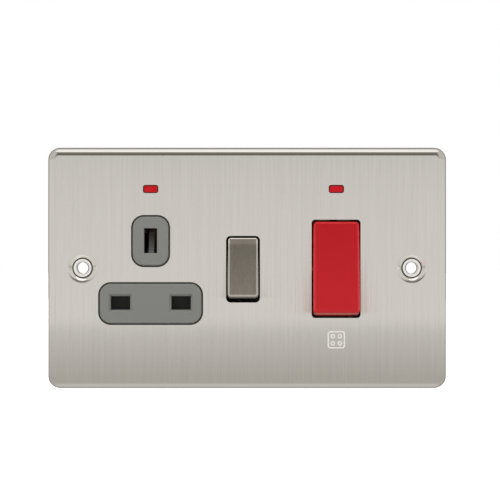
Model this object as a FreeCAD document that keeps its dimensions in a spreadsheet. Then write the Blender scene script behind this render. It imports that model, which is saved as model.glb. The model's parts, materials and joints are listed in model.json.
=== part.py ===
"""Cooker control unit: a twin-gang wall plate with a shuttered, switched socket and a cooker switch.

Right is +X, up is +Z and the front faces -Y. The origin is the middle of the plate, on the wall's face.
Lengths are millimetres and angles are degrees. Both switches are modelled off, with the lower end proud.
"""
import FreeCAD, Part
import Sketcher
import math
import os
import re

SIZES = (
    ("plate_width", 146.6, "front plate, overall width at the wall"),
    ("plate_height", 88.6, "front plate, overall height at the wall"),
    ("plate_depth", 5.0, "front plate, from the wall to its face"),
    ("plate_sheet", 1.0, "front plate, thickness of the sheet"),
    ("plate_corner", 4.5, "front plate, corner radius seen from the front"),
    ("plate_edge", 3.0, "front plate, radius of the rolled edge"),
    ("plate_draft", 6.0, "front plate, lean of its sides"),
    ("fixing_pitch", 120.6, "distance between the two fixing holes"),
    ("fixing_hole", 4.2, "diameter of a fixing hole"),
    ("fixing_lip", 9.6, "outer diameter of the pressed dish round a fixing hole"),
    ("fixing_step", 7.5, "diameter where the dish steps down to its seat"),
    ("fixing_seat", 7.3, "diameter of the seat in the dish"),
    ("fixing_dish", 1.0, "depth of the dish above its step"),
    ("fixing_drop", 1.6, "depth of the seat below the plate's face"),
    ("fixing_roll", 2.0, "radius of the dish's rolled lip"),
    ("sleeve_wall", 0.5, "fixing sleeve, wall thickness"),
    ("sleeve_fit", 0.05, "clearance of a fixing sleeve in the plate"),
    ("sleeve_flange", 6.9, "fixing sleeve, diameter of its flange"),
    ("sleeve_crest", 0.7, "fixing sleeve, height of its flange"),
    ("sleeve_lead", 0.35, "fixing sleeve, chamfer of its bore"),
    ("sleeve_edge", 0.2, "fixing sleeve, chamfer of its flange"),
    ("bush_radius", 2.5, "outer radius of a threaded bush on the plate's back"),
    ("bush_length", 2.3, "length of a threaded bush"),
    ("screw_radius", 1.5, "shank radius of a housing screw"),
    ("screw_gap", 0.1, "clearance round a housing screw"),
    ("screw_inset", 2.5, "housing screws, distance in from the housing's side walls"),
    ("screw_drop", 3.5, "housing screws, distance in from the housing's end walls"),
    ("screw_tip", 0.5, "space between a housing screw's end and the plate"),
    ("head_radius", 2.8, "radius of a housing screw's head"),
    ("head_height", 2.0, "height of a housing screw's head"),
    ("head_slot", 0.8, "width of the slot in a screw's head"),
    ("panel_rim", 2.5, "front moulding, reach of the panel past the housing"),
    ("panel_wall", 2.5, "front moulding, thickness of the panel"),
    ("notch_depth", 2.5, "notch in the panel beside a box lug, depth"),
    ("notch_height", 11.2, "notch in the panel beside a box lug, height"),
    ("socket_offset", 35.3, "socket, distance left of the plate's middle"),
    ("earth_window_width", 14.3, "earth window in the plate, width"),
    ("earth_window_height", 19.1, "earth window in the plate, height"),
    ("earth_window_rise", 9.85, "earth window, height of its middle"),
    ("pins_window_width", 38.4, "line and neutral window in the plate, width"),
    ("pins_window_height", 15.7, "line and neutral window in the plate, height"),
    ("pins_window_drop", 13.0, "line and neutral window, depth of its middle"),
    ("window_corner", 4.7, "corner radius of both socket windows"),
    ("island_gap", 0.6, "gap between a socket window and the moulding in it"),
    ("island_moat", 1.4, "depth of the moat in the panel round each face"),
    ("island_proud", 0.5, "height of the moulding's faces above the plate"),
    ("island_edge", 0.5, "rounding of the moulding's faces"),
    ("earth_slot_width", 4.8, "earth slot, width"),
    ("earth_slot_height", 9.1, "earth slot, height"),
    ("earth_slot_rise", 10.0, "earth slot, height of its middle"),
    ("pin_slot_width", 7.2, "line or neutral slot, width"),
    ("pin_slot_height", 5.0, "line or neutral slot, height"),
    ("pin_slot_drop", 12.8, "line and neutral slots, depth of their middle"),
    ("pin_slot_lead", 0.8, "chamfer round the line and neutral slots"),
    ("pin_spread", 22.2, "distance between the line and neutral pins"),
    ("guide_depth", 4.0, "guides of the line and neutral slots, reach behind the panel"),
    ("guide_wall", 1.0, "guides of the line and neutral slots, wall thickness"),
    ("rocker_drop", 0.3, "rockers, depth of their pivots below the middle"),
    ("pivot_rise", 1.5, "rockers, pivots in front of the wall's face"),
    ("rocker_wall", 1.3, "rockers, wall thickness"),
    ("rocker_skirt", 2.0, "rockers, reach behind the pivot"),
    ("rocker_fit", 0.05, "socket rocker, clearance under its metal cap"),
    ("cap_sheet", 0.5, "socket rocker's cap, thickness"),
    ("cap_setback", 1.7, "socket rocker's cap, its rim in front of the pivot"),
    ("trunnion_radius", 1.2, "rocker trunnion, radius"),
    ("trunnion_reach", 1.7, "rocker trunnion, reach from the rocker's side"),
    ("bearing_gap", 0.06, "clearance of a trunnion in its bearing"),
    ("switch_offset", 1.5, "socket switch, distance left of the plate's middle"),
    ("switch_width", 11.2, "socket rocker, width"),
    ("switch_radius", 11.8, "socket rocker, radius of its ends about the pivot"),
    ("switch_face", 4.9, "socket rocker, face in front of the pivot"),
    ("switch_tilt", 7.5, "socket rocker, tilt either way"),
    ("switch_corner", 1.1, "socket rocker, rounding of the four corners"),
    ("switch_edge", 0.85, "socket rocker, rounding round the face"),
    ("switch_window_width", 12.4, "socket rocker's window, width"),
    ("switch_window_height", 24.4, "socket rocker's window, height"),
    ("switch_window_drop", 0.15, "socket rocker's window, its middle below the pivot"),
    ("switch_window_shift", 0.0, "socket rocker's window, its middle left of the rocker's"),
    ("switch_window_corner", 1.7, "socket rocker's window, corner radius"),
    ("switch_blade_reach", 8.0, "socket blade, half its length"),
    ("cooker_offset", 32.65, "cooker switch, distance right of the plate's middle"),
    ("cooker_width", 16.9, "cooker rocker, width"),
    ("cooker_radius", 17.45, "cooker rocker, radius of its ends about the pivot"),
    ("cooker_face", 5.4, "cooker rocker, face in front of the pivot"),
    ("cooker_tilt", 6.0, "cooker rocker, tilt either way"),
    ("cooker_corner", 1.4, "cooker rocker, rounding of the four corners"),
    ("cooker_edge", 1.0, "cooker rocker, rounding round the face"),
    ("cooker_window_width", 17.9, "cooker rocker's window, width"),
    ("cooker_window_height", 36.0, "cooker rocker's window, height"),
    ("cooker_window_drop", 0.0, "cooker rocker's window, its middle below the pivot"),
    ("cooker_window_shift", 0.1, "cooker rocker's window, its middle left of the rocker's"),
    ("cooker_window_corner", 1.3, "cooker rocker's window, corner radius"),
    ("cooker_blade_reach", 11.0, "cooker blade, half its length"),
    ("pole_offset", 4.2, "cooker switch, each pole from the rocker's middle"),
    ("well_gap", 0.25, "rocker well, room behind the plate's window"),
    ("well_wall", 1.5, "rocker well, wall thickness"),
    ("well_depth", 4.5, "rocker well, reach behind the panel"),
    ("stem_radius", 2.4, "plunger stem in a rocker, outer radius"),
    ("stem_reach", 5.0, "plunger stem, reach behind the pivot"),
    ("plunger_radius", 1.4, "plunger, radius"),
    ("plunger_gap", 0.1, "clearance of a plunger in its stem"),
    ("plunger_back", 0.5, "plunger, its spring end behind the pivot"),
    ("plunger_room", 0.35, "space between a plunger and its blade at mid travel"),
    ("wire_size", 0.4, "thickness of a spring's wire"),
    ("coil_room", 0.15, "space between a spring and what stands round it"),
    ("knuckle_level", 11.0, "blade pivots, depth behind the wall's face"),
    ("knuckle_radius", 1.0, "blade pivots, radius of the post's round end"),
    ("knuckle_gap", 0.1, "clearance of a blade on its post"),
    ("blade_sheet", 1.0, "blade, thickness"),
    ("blade_offset", 0.6, "blade, its back in front of the pivot"),
    ("blade_width", 4.4, "blade, width"),
    ("blade_tilt", 10.0, "blade, tilt either way"),
    ("rivet_radius", 1.5, "contact rivet, radius"),
    ("rivet_height", 0.8, "contact rivet on a blade, height"),
    ("rivet_inset", 1.8, "contact rivet, its middle from the blade's end"),
    ("contact_room", 0.15, "space left between closed contacts"),
    ("shutter_gap", 0.3, "shutter, clearance behind the panel and beside its rails"),
    ("shutter_wall", 2.2, "shutter, thickness"),
    ("shutter_cover", 0.85, "shutter, overlap of the bar above and below a slot"),
    ("shutter_lap", 0.6, "shutter, overlap of the bar beside a slot"),
    ("shutter_neck", 9.0, "shutter, width of the neck"),
    ("shutter_tongue", 2.0, "shutter, width of the ramp in the earth slot"),
    ("ramp_rise", 8.0, "shutter ramp, height above the slot's lower end"),
    ("ramp_tip", 1.0, "shutter ramp, thickness of its tip"),
    ("rail_wall", 1.2, "shutter rail, thickness"),
    ("coil_radius", 1.2, "shutter spring, mean radius"),
    ("strap_sheet", 0.8, "contacts, thickness of the brass strip"),
    ("strap_width", 3.0, "contacts, width of the strap"),
    ("strap_level", 13.2, "line and neutral contacts, depth of the strap"),
    ("strap_drop", 18.5, "neutral strap, depth below the middle"),
    ("clip_gap", 4.2, "contacts, gap between the two leaves"),
    ("clip_width", 5.6, "contacts, width of a leaf"),
    ("clip_tip", 5.8, "line and neutral contacts, depth of the leaf tips"),
    ("clip_flare", 0.8, "contacts, flare of the leaf tips"),
    ("flare_length", 1.6, "contacts, length of the flare"),
    ("earth_tip", 6.0, "earth contact, depth of the leaf tips"),
    ("earth_level", 19.2, "earth contact, depth of the strap"),
    ("bar_level", 15.0, "terminal bars, depth of their face"),
    ("bar_sheet", 1.0, "terminal bars, thickness"),
    ("bar_width", 5.0, "terminal bars, width"),
    ("block_size", 9.0, "terminal block, width and height"),
    ("block_offset", 6.5, "terminal block, distance from the cooker rocker's middle"),
    ("block_gap", 0.5, "terminal block, space to the housing's wall"),
    ("earth_spread", 8.4, "earth block, distance between its cable ways"),
    ("cable_bore", 5.0, "diameter of a cable way"),
    ("clamp_radius", 1.9, "terminal screw, shank radius"),
    ("clamp_room", 0.2, "space between a terminal screw's end and the cable way"),
    ("housing_side", 1.8, "rear housing, room beside the neutral contact"),
    ("housing_top", 2.1, "rear housing, room above the indicators' middle"),
    ("housing_depth", 26.0, "rear housing, back behind the wall's face"),
    ("housing_wall", 2.0, "rear housing, wall thickness"),
    ("housing_corner", 3.0, "rear housing, corner radius"),
    ("pillar_radius", 3.6, "rear housing, radius of a screw pillar"),
    ("post_size", 4.0, "rear housing, width of a contact post"),
    ("rib_offset", 6.2, "rear housing, shutter ribs from the socket's middle"),
    ("rib_wall", 1.5, "rear housing, thickness of a shutter rib"),
    ("access_gap", 0.2, "clearance round a screw head in the housing"),
    ("cable_window", 7.0, "rear housing, width of a cable window"),
    ("neon_drop", 15.4, "indicators, their middle below the plate's upper edge"),
    ("neon_width", 4.9, "indicator lens, width"),
    ("neon_height", 2.3, "indicator lens, height"),
    ("neon_gap", 0.35, "clearance round an indicator lens"),
    ("neon_corner", 0.5, "indicator lens, corner radius"),
    ("neon_sink", 0.4, "indicator lens, depth below the plate's face"),
    ("lens_flange", 1.2, "indicator lens, width of its flange"),
    ("lens_sheet", 0.7, "indicator lens, thickness of its flange"),
    ("lens_ear", 0.6, "indicator lens, width of the ears at its flange's ends"),
    ("lens_ledge", 0.6, "indicator lens, thickness of the panel behind its flange"),
    ("lamp_radius", 2.0, "neon lamp, radius"),
    ("lamp_length", 8.5, "neon lamp, length of the glass"),
    ("lamp_gap", 0.3, "neon lamp, space round and in front of it"),
    ("lamp_drop", 1.7, "neon lamp, its middle below the lens's middle"),
    ("lamp_wall", 1.0, "neon lamp's collar, wall thickness"),
    ("lamp_collar", 7.0, "neon lamp's collar, reach behind the panel"),
    ("lead_radius", 0.35, "neon lamp, radius of a lead"),
    ("lead_length", 3.0, "neon lamp, length of a lead"),
    ("tab_width", 4.0, "plate earthing tab, width"),
    ("tab_foot", 3.0, "plate earthing tab, length of its foot"),
    ("tab_room", 0.2, "plate earthing tab, room in its slot"),
)

doc = FreeCAD.newDocument("CookerControlUnit")
sheet = doc.addObject("Spreadsheet::Sheet", "Sizes")
for row, (alias, value, note) in enumerate(SIZES, 1):
    sheet.set(f"A{row}", note)
    sheet.set(f"B{row}", str(value))
    sheet.setAlias(f"B{row}", alias)
doc.recompute()

# Places shared by several pieces, as expressions on the sheet's sizes
SOCKET_X = "(0 - socket_offset)"
LINE_X = "(pin_spread/2 - socket_offset)"
NEUTRAL_X = "(0 - pin_spread/2 - socket_offset)"
SWITCH_X = "(0 - switch_offset)"
COOKER_X = "cooker_offset"
PIVOT_Y = "(0 - pivot_rise)"
PIVOT_Z = "(0 - rocker_drop)"
PLATE_FACE = "(0 - plate_depth)"
PLATE_BACK = "(plate_sheet - plate_depth)"
PANEL_BACK = "(plate_sheet - plate_depth + panel_wall)"
ISLAND_FACE = "(0 - plate_depth - island_proud)"
FLOOR = "(housing_depth - housing_wall)"
NEON_Z = "(plate_height/2 - neon_drop)"
INNER_SIDE = "(socket_offset + pin_spread/2 + clip_width/2 + housing_side)"
INNER_TOP = f"({NEON_Z} + housing_top)"
OUTER_SIDE, OUTER_TOP = f"({INNER_SIDE} + housing_wall)", f"({INNER_TOP} + housing_wall)"
PINS_Z = "(0 - pin_slot_drop)"
STRAP_BACK = "(strap_level + strap_sheet)"
EARTH_BACK = "(earth_level + strap_sheet)"
BAR_BACK = "(bar_level + bar_sheet)"
LAMP_Z = f"({NEON_Z} - lamp_drop)"
LAMP_FRONT = f"({PANEL_BACK} + lamp_gap)"
BLOCK_Z = f"({INNER_TOP} - block_gap - block_size/2)"
CABLE_Y = f"(({BAR_BACK} + {FLOOR})/2 - clamp_room)"
SCREW_X, SCREW_Z = f"({INNER_SIDE} - screw_inset)", f"({INNER_TOP} - screw_drop)"
SCREW_SPOTS = [(f"({a}*{SCREW_X})", f"({b}*{SCREW_Z})") for a in (-1, 1) for b in (-1, 1)]
SHUTTER_FRONT = f"({PANEL_BACK} + guide_depth + shutter_gap)"
SHUTTER_BACK = f"({SHUTTER_FRONT} + shutter_wall)"
FIXING_SEAT = f"({PLATE_FACE} + fixing_drop)"
POLES = {"line": f"({COOKER_X} - pole_offset)", "neutral": f"({COOKER_X} + pole_offset)"}
BLOCKS = {"line": f"({COOKER_X} - block_offset)", "neutral": f"({COOKER_X} + block_offset)"}
EARTH_WAYS = [f"({SOCKET_X} - earth_spread/2)", f"({SOCKET_X} + earth_spread/2)"]
NEONS = {"socket": SOCKET_X, "cooker": COOKER_X}
CAP_ROOM = {"switch": "(cap_sheet + rocker_fit)", "cooker": "0"}
ROCKERS = {
    "switch": (SWITCH_X, [("", "0")]),
    "cooker": (COOKER_X, [("line", "(0 - pole_offset)"), ("neutral", "pole_offset")]),
}


def cell(text):
    """Write the sheet's name before each alias in an expression."""
    return re.sub(r"[a-z]+(?:_[a-z]+)+", lambda word: "Sizes." + word.group(0), text)


def read(text):
    """The present value of an expression."""
    return float(sheet.evalExpression(text))


def bind(item, name, text):
    """Tie a property to an expression on the sheet."""
    item.setExpression(name, cell(text))


def new_body(label):
    """An empty body that takes its file's name from its label."""
    owner = doc.addObject("PartDesign::Body", label)
    owner.Label = label
    return owner


def new_sketch(owner, role, offset):
    """A sketch on one of the body's origin planes, set off along that plane's normal."""
    sketch = owner.newObject("Sketcher::SketchObject", owner.Label + "_outline")
    plane = next(item for item in owner.Origin.OriginFeatures if item.Role == role)
    sketch.AttachmentSupport = [(plane, "")]
    sketch.MapMode = "FlatFace"
    bind(sketch, "AttachmentOffset.Base.z", offset)
    return sketch


def front_sketch(owner, depth):
    """A sketch seen from the front, across X and up Z, at a depth along Y."""
    return new_sketch(owner, "XZ_Plane", f"0 - ({depth})")


def side_sketch(owner, across):
    """A sketch seen from the side, along Y and up Z, at a place across X."""
    return new_sketch(owner, "YZ_Plane", across)


def plan_sketch(owner, height):
    """A sketch seen from above, across X and along Y, at a height on Z."""
    return new_sketch(owner, "XY_Plane", height)


def constrain(sketch, bound, plain=()):
    """Add plain constraints, then constraints whose values follow the sheet."""
    sketch.addConstraint([Sketcher.Constraint(*parts) for parts in plain])
    for parts, text in bound:
        number = sketch.addConstraint(Sketcher.Constraint(*parts, read(text)))
        bind(sketch, f"Constraints[{number}]", text)


def pins(index, position, u, v):
    """Bound constraints that hold a point of a sketch at a place."""
    return [(("DistanceX", -1, 1, index, position), u), (("DistanceY", -1, 1, index, position), v)]


def polygon(sketch, corners):
    """A closed outline of straight lines through corners given as expressions."""
    first = sketch.GeometryCount
    spots = [FreeCAD.Vector(read(u), read(v), 0) for u, v in corners]
    count = len(spots)
    for k, spot in enumerate(spots):
        sketch.addGeometry(Part.LineSegment(spot, spots[(k + 1) % count]))
    joins = [("Coincident", first + (k - 1) % count, 2, first + k, 1) for k in range(count)]
    held = [entry for k, (u, v) in enumerate(corners) for entry in pins(first + k, 1, u, v)]
    constrain(sketch, held, joins)


def rectangle(sketch, u, v, width, height):
    """A rectangle about its middle."""
    left, right = f"({u} - ({width})/2)", f"({u} + ({width})/2)"
    low, high = f"({v} - ({height})/2)", f"({v} + ({height})/2)"
    polygon(sketch, [(left, low), (right, low), (right, high), (left, high)])


def circle(sketch, u, v, radius):
    """A circle about its middle."""
    middle = FreeCAD.Vector(read(u), read(v), 0)
    index = sketch.addGeometry(Part.Circle(middle, FreeCAD.Vector(0, 0, 1), read(radius)))
    constrain(sketch, pins(index, 3, u, v) + [(("Radius", index), radius)])


def rounded(sketch, u, v, width, height, radius):
    """A rectangle about its middle, with round corners."""
    across, up = f"(({width})/2 - ({radius}))", f"(({height})/2 - ({radius}))"
    first = sketch.GeometryCount
    arcs, held = [], []
    for k, (a, b) in enumerate(((1, 1), (-1, 1), (-1, -1), (1, -1))):
        middle_u, middle_v = f"({u} + {a}*{across})", f"({v} + {b}*{up})"
        middle = FreeCAD.Vector(read(middle_u), read(middle_v), 0)
        round_corner = Part.Circle(middle, FreeCAD.Vector(0, 0, 1), read(radius))
        arcs.append(Part.ArcOfCircle(round_corner, k * math.pi / 2, (k + 1) * math.pi / 2))
        held += pins(first + k, 3, middle_u, middle_v) + [(("Radius", first + k), radius)]
    sketch.addGeometry(arcs)
    for k in range(4):
        sketch.addGeometry(Part.LineSegment(arcs[k].EndPoint, arcs[(k + 1) % 4].StartPoint))
    joins = [("Tangent", first + k, 2, first + 4 + k, 1) for k in range(4)]
    joins += [("Tangent", first + 4 + k, 2, first + (k + 1) % 4, 1) for k in range(4)]
    constrain(sketch, held, joins)


def extrude(owner, sketch, length, kind="PartDesign::Pad", turned=False, both=False, lean="0"):
    """Pad or pocket a sketch, and stop if that changes the solid the wrong way."""
    before = owner.Shape.Volume if owner.Tip else 0.0
    feature = owner.newObject(kind, owner.Label + "_" + kind.split("::")[1].lower())
    feature.Profile = sketch
    feature.SideType = "Symmetric" if both else "One side"
    feature.Reversed = turned
    bind(feature, "Length", length)
    bind(feature, "TaperAngle", f"0 - {lean}")
    doc.recompute()
    gain = owner.Shape.Volume - before
    if (gain > 0) != (kind == "PartDesign::Pad"):
        raise RuntimeError(f"{feature.Name} does not change its solid as it should")
    return feature


def pad(owner, sketch, length, both=False, lean="0"):
    """Add material from a sketch along its normal: forwards, right or up."""
    return extrude(owner, sketch, length, both=both, lean=lean)


def pad_back(owner, sketch, length):
    """Add material from a sketch against its normal."""
    return extrude(owner, sketch, length, turned=True)


def pocket(owner, sketch, length, both=False):
    """Cut a sketch away against its normal: backwards, left or down."""
    return extrude(owner, sketch, length, "PartDesign::Pocket", both=both)


def pocket_on(owner, sketch, length):
    """Cut a sketch away along its normal: forwards, right or up."""
    return extrude(owner, sketch, length, "PartDesign::Pocket", turned=True)


def dress(owner, kind, name, size, chosen):
    """Fillet or chamfer the edges of a body that a test chooses."""
    base = owner.Tip
    names = [f"Edge{k}" for k, edge in enumerate(base.Shape.Edges, 1) if chosen(edge)]
    feature = owner.newObject(kind, owner.Label + "_" + kind.split("::")[1].lower())
    feature.Base = (base, names)
    bind(feature, name, size)
    doc.recompute()


def fillet(owner, radius, chosen):
    """Round the chosen edges."""
    dress(owner, "PartDesign::Fillet", "Radius", radius, chosen)


def at_depth(depth):
    """A test for edges that lie wholly at a depth along Y."""
    level = read(depth)
    return lambda edge: abs(edge.BoundBox.YMin - level) < 1e-4 and abs(edge.BoundBox.YMax - level) < 1e-4


def within(edge, u, v, width, height):
    """Tell whether an edge's middle lies in a rectangle seen from the front."""
    middle = edge.BoundBox.Center
    across = abs(middle.x - read(u)) < read(width) / 2 + 0.01
    return across and abs(middle.z - read(v)) < read(height) / 2 + 0.01


def socket_windows(sketch, gap, corner):
    """Outlines of the two socket windows, drawn in by a gap."""
    earth = (f"(earth_window_width - 2*{gap})", f"(earth_window_height - 2*{gap})")
    rounded(sketch, SOCKET_X, "earth_window_rise", *earth, corner)
    live = (f"(pins_window_width - 2*{gap})", f"(pins_window_height - 2*{gap})")
    rounded(sketch, SOCKET_X, "(0 - pins_window_drop)", *live, corner)


def window_middle(kind, across):
    """The middle of a rocker's window."""
    return f"({across} - {kind}_window_shift)", f"({PIVOT_Z} - {kind}_window_drop)"


def rocker_window(sketch, kind, across, margin):
    """A rectangle round a rocker's window, with a margin on every side."""
    width, height = (f"({kind}_window_{way} + 2*{margin})" for way in ("width", "height"))
    rectangle(sketch, *window_middle(kind, across), width, height)


def neon_window(sketch, across):
    """The outline of an indicator's window."""
    size = ("(neon_width + 2*neon_gap)", "(neon_height + 2*neon_gap)")
    rounded(sketch, across, NEON_Z, *size, "(neon_corner + neon_gap)")


def make_front_plate():
    """The pressed steel plate, with rolled edges, dished fixing holes and threaded bushes behind."""
    owner = new_body("front_plate")
    sketch = front_sketch(owner, "0")
    rounded(sketch, "0", "0", "plate_width", "plate_height", "plate_corner")
    pad(owner, sketch, "plate_depth", lean="plate_draft")
    fillet(owner, "plate_edge", at_depth(PLATE_FACE))
    sketch = front_sketch(owner, "0")
    inset = "(plate_sheet + plate_depth*tan(plate_draft))"
    inside = (f"(plate_width - 2*{inset})", f"(plate_height - 2*{inset})")
    rounded(sketch, "0", "0", *inside, f"(plate_corner - {inset})")
    pocket_on(owner, sketch, "plate_depth - plate_sheet")
    fillet(owner, "plate_edge - plate_sheet", at_depth(PLATE_BACK))
    sketch = front_sketch(owner, PLATE_FACE)
    socket_windows(sketch, "0", "window_corner")
    for kind, (across, _) in ROCKERS.items():
        size = (f"{kind}_window_width", f"{kind}_window_height")
        rounded(sketch, *window_middle(kind, across), *size, f"{kind}_window_corner")
    for across in NEONS.values():
        neon_window(sketch, across)
    pocket(owner, sketch, "2*plate_sheet")
    dish_fixings(owner)
    sketch = front_sketch(owner, f"({PLATE_BACK} + bush_length)")
    for across, up in SCREW_SPOTS:
        circle(sketch, across, up, "bush_radius")
    pad(owner, sketch, "bush_length")
    sketch = front_sketch(owner, f"({PLATE_BACK} + bush_length)")
    for across, up in SCREW_SPOTS:
        circle(sketch, across, up, "(screw_radius + screw_gap)")
    pocket_on(owner, sketch, "bush_length - screw_tip/2")
    return owner


def turn(owner, kind, side, steps):
    """Turn an outline of radii and depths about the axis of a fixing hole."""
    axis_x = f"({side}*fixing_pitch/2)"
    sketch = plan_sketch(owner, "0")
    polygon(sketch, [(f"({axis_x} + {reach})", depth) for reach, depth in steps])
    ends = [(axis_x, PLATE_FACE), (axis_x, "0")]
    spots = [FreeCAD.Vector(read(u), read(v), 0) for u, v in ends]
    line = sketch.addGeometry(Part.LineSegment(*spots), True)
    constrain(sketch, pins(line, 1, *ends[0]) + pins(line, 2, *ends[1]))
    feature = owner.newObject("PartDesign::" + kind, owner.Label + "_turned")
    feature.Profile = sketch
    feature.ReferenceAxis = (sketch, ["Axis0"])
    doc.recompute()
    return feature


def make_fixing_sleeves():
    """Bright flanged sleeves in the fixing holes, which keep the plate off the box when it is screwed up."""
    bore, barrel, flange = "(fixing_hole/2)", "(fixing_hole/2 + sleeve_wall)", "(sleeve_flange/2)"
    crest = f"({FIXING_SEAT} - sleeve_crest)"
    steps = [
        (bore, "0"),
        (barrel, "0"),
        (barrel, FIXING_SEAT),
        (flange, FIXING_SEAT),
        (flange, f"({crest} + sleeve_edge)"),
        (f"({flange} - sleeve_edge)", crest),
        (f"({bore} + sleeve_lead)", crest),
        (bore, f"({crest} + sleeve_lead)"),
    ]
    sleeves = [new_body(side + "_fixing_sleeve") for side in ("left", "right")]
    for owner, side in zip(sleeves, ("(0 - 1)", "1")):
        turn(owner, "Revolution", side, steps)
    return make_group("fixing_sleeves", sleeves)


def dish_fixings(owner):
    """Press a dish with a stepped seat round each fixing hole."""
    step, hole = f"({PLATE_FACE} + fixing_dish)", "(fixing_hole/2 + sleeve_wall + sleeve_fit)"
    bulge = [
        ("0", PLATE_BACK),
        ("(fixing_lip/2 + plate_sheet)", PLATE_BACK),
        ("(fixing_step/2 + plate_sheet)", f"({step} + plate_sheet)"),
        ("(fixing_seat/2 + plate_sheet)", f"({FIXING_SEAT} + plate_sheet)"),
        ("0", f"({FIXING_SEAT} + plate_sheet)"),
    ]
    dish = [
        ("0", PLATE_FACE),
        ("(fixing_lip/2)", PLATE_FACE),
        ("(fixing_step/2)", step),
        ("(fixing_seat/2)", FIXING_SEAT),
        (hole, FIXING_SEAT),
        (hole, f"({FIXING_SEAT} + 2*plate_sheet)"),
        ("0", f"({FIXING_SEAT} + 2*plate_sheet)"),
    ]
    pressed = [turn(owner, "Revolution", "1", bulge), turn(owner, "Groove", "1", dish)]
    mirrored = owner.newObject("PartDesign::Mirrored", owner.Label + "_mirrored")
    mirrored.Originals = pressed
    plane = next(item for item in owner.Origin.OriginFeatures if item.Role == "YZ_Plane")
    mirrored.MirrorPlane = (plane, [""])
    owner.Tip = mirrored
    doc.recompute()
    flat = at_depth(PLATE_FACE)
    lip = read("fixing_lip/2")
    fillet(owner, "fixing_roll", lambda edge: flat(edge) and abs(edge.BoundBox.ZLength - 2 * lip) < 1e-3)


def make_front_moulding():
    """The moulding behind the plate: panel, socket faces, rocker wells, lamp collars and shutter rails."""
    owner = new_body("front_moulding")
    sketch = front_sketch(owner, PANEL_BACK)
    wide, waist = f"({OUTER_SIDE} + panel_rim)", f"({OUTER_SIDE} + panel_rim - notch_depth)"
    high, notch = f"({OUTER_TOP} + panel_rim)", "(notch_height/2)"
    right = [(wide, f"(0 - {high})"), (wide, f"(0 - {notch})"), (waist, f"(0 - {notch})")]
    right += [(waist, notch), (wide, notch), (wide, high)]
    left = [(f"(0 - {u})", f"(0 - {v})") for u, v in right]
    polygon(sketch, right + left)
    pad(owner, sketch, "panel_wall")
    sketch = front_sketch(owner, PLATE_BACK)
    socket_windows(sketch, "island_gap", "(window_corner - island_gap)")
    pad(owner, sketch, "plate_sheet + island_proud")
    fillet(owner, "island_edge", at_depth(ISLAND_FACE))
    sketch = front_sketch(owner, PLATE_BACK)
    socket_windows(sketch, "island_gap", "(window_corner - island_gap)")
    socket_windows(sketch, "0", "window_corner")
    pocket(owner, sketch, "island_moat")
    sketch = front_sketch(owner, f"({PANEL_BACK} + guide_depth)")
    for across in (LINE_X, NEUTRAL_X):
        size = ("(pin_slot_width + 2*guide_wall)", "(pin_slot_height + 2*guide_wall)")
        rectangle(sketch, across, PINS_Z, *size)
    pad(owner, sketch, "guide_depth")
    sketch = front_sketch(owner, f"({PANEL_BACK} + well_depth)")
    for kind, (across, _) in ROCKERS.items():
        rocker_window(sketch, kind, across, "(well_gap + well_wall)")
    pad(owner, sketch, "well_depth")
    sketch = front_sketch(owner, f"({PANEL_BACK} + lamp_collar)")
    for across in NEONS.values():
        circle(sketch, across, LAMP_Z, "(lamp_radius + lamp_gap + lamp_wall)")
    pad(owner, sketch, "lamp_collar")
    sketch = front_sketch(owner, SHUTTER_BACK)
    rail_low = f"({PINS_Z} + pin_slot_height/2 + shutter_cover + shutter_gap)"
    rail_high = "(earth_slot_rise - earth_slot_height/2)"
    for side in (-1, 1):
        rail_x = f"({SOCKET_X} + {side}*(shutter_neck/2 + shutter_gap + rail_wall/2))"
        rail_z, rail_length = f"(({rail_low} + {rail_high})/2)", f"({rail_high} - {rail_low})"
        rectangle(sketch, rail_x, rail_z, "rail_wall", rail_length)
    pad(owner, sketch, f"{SHUTTER_BACK} - {PANEL_BACK}")
    cut_front_moulding(owner)
    return owner


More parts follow.
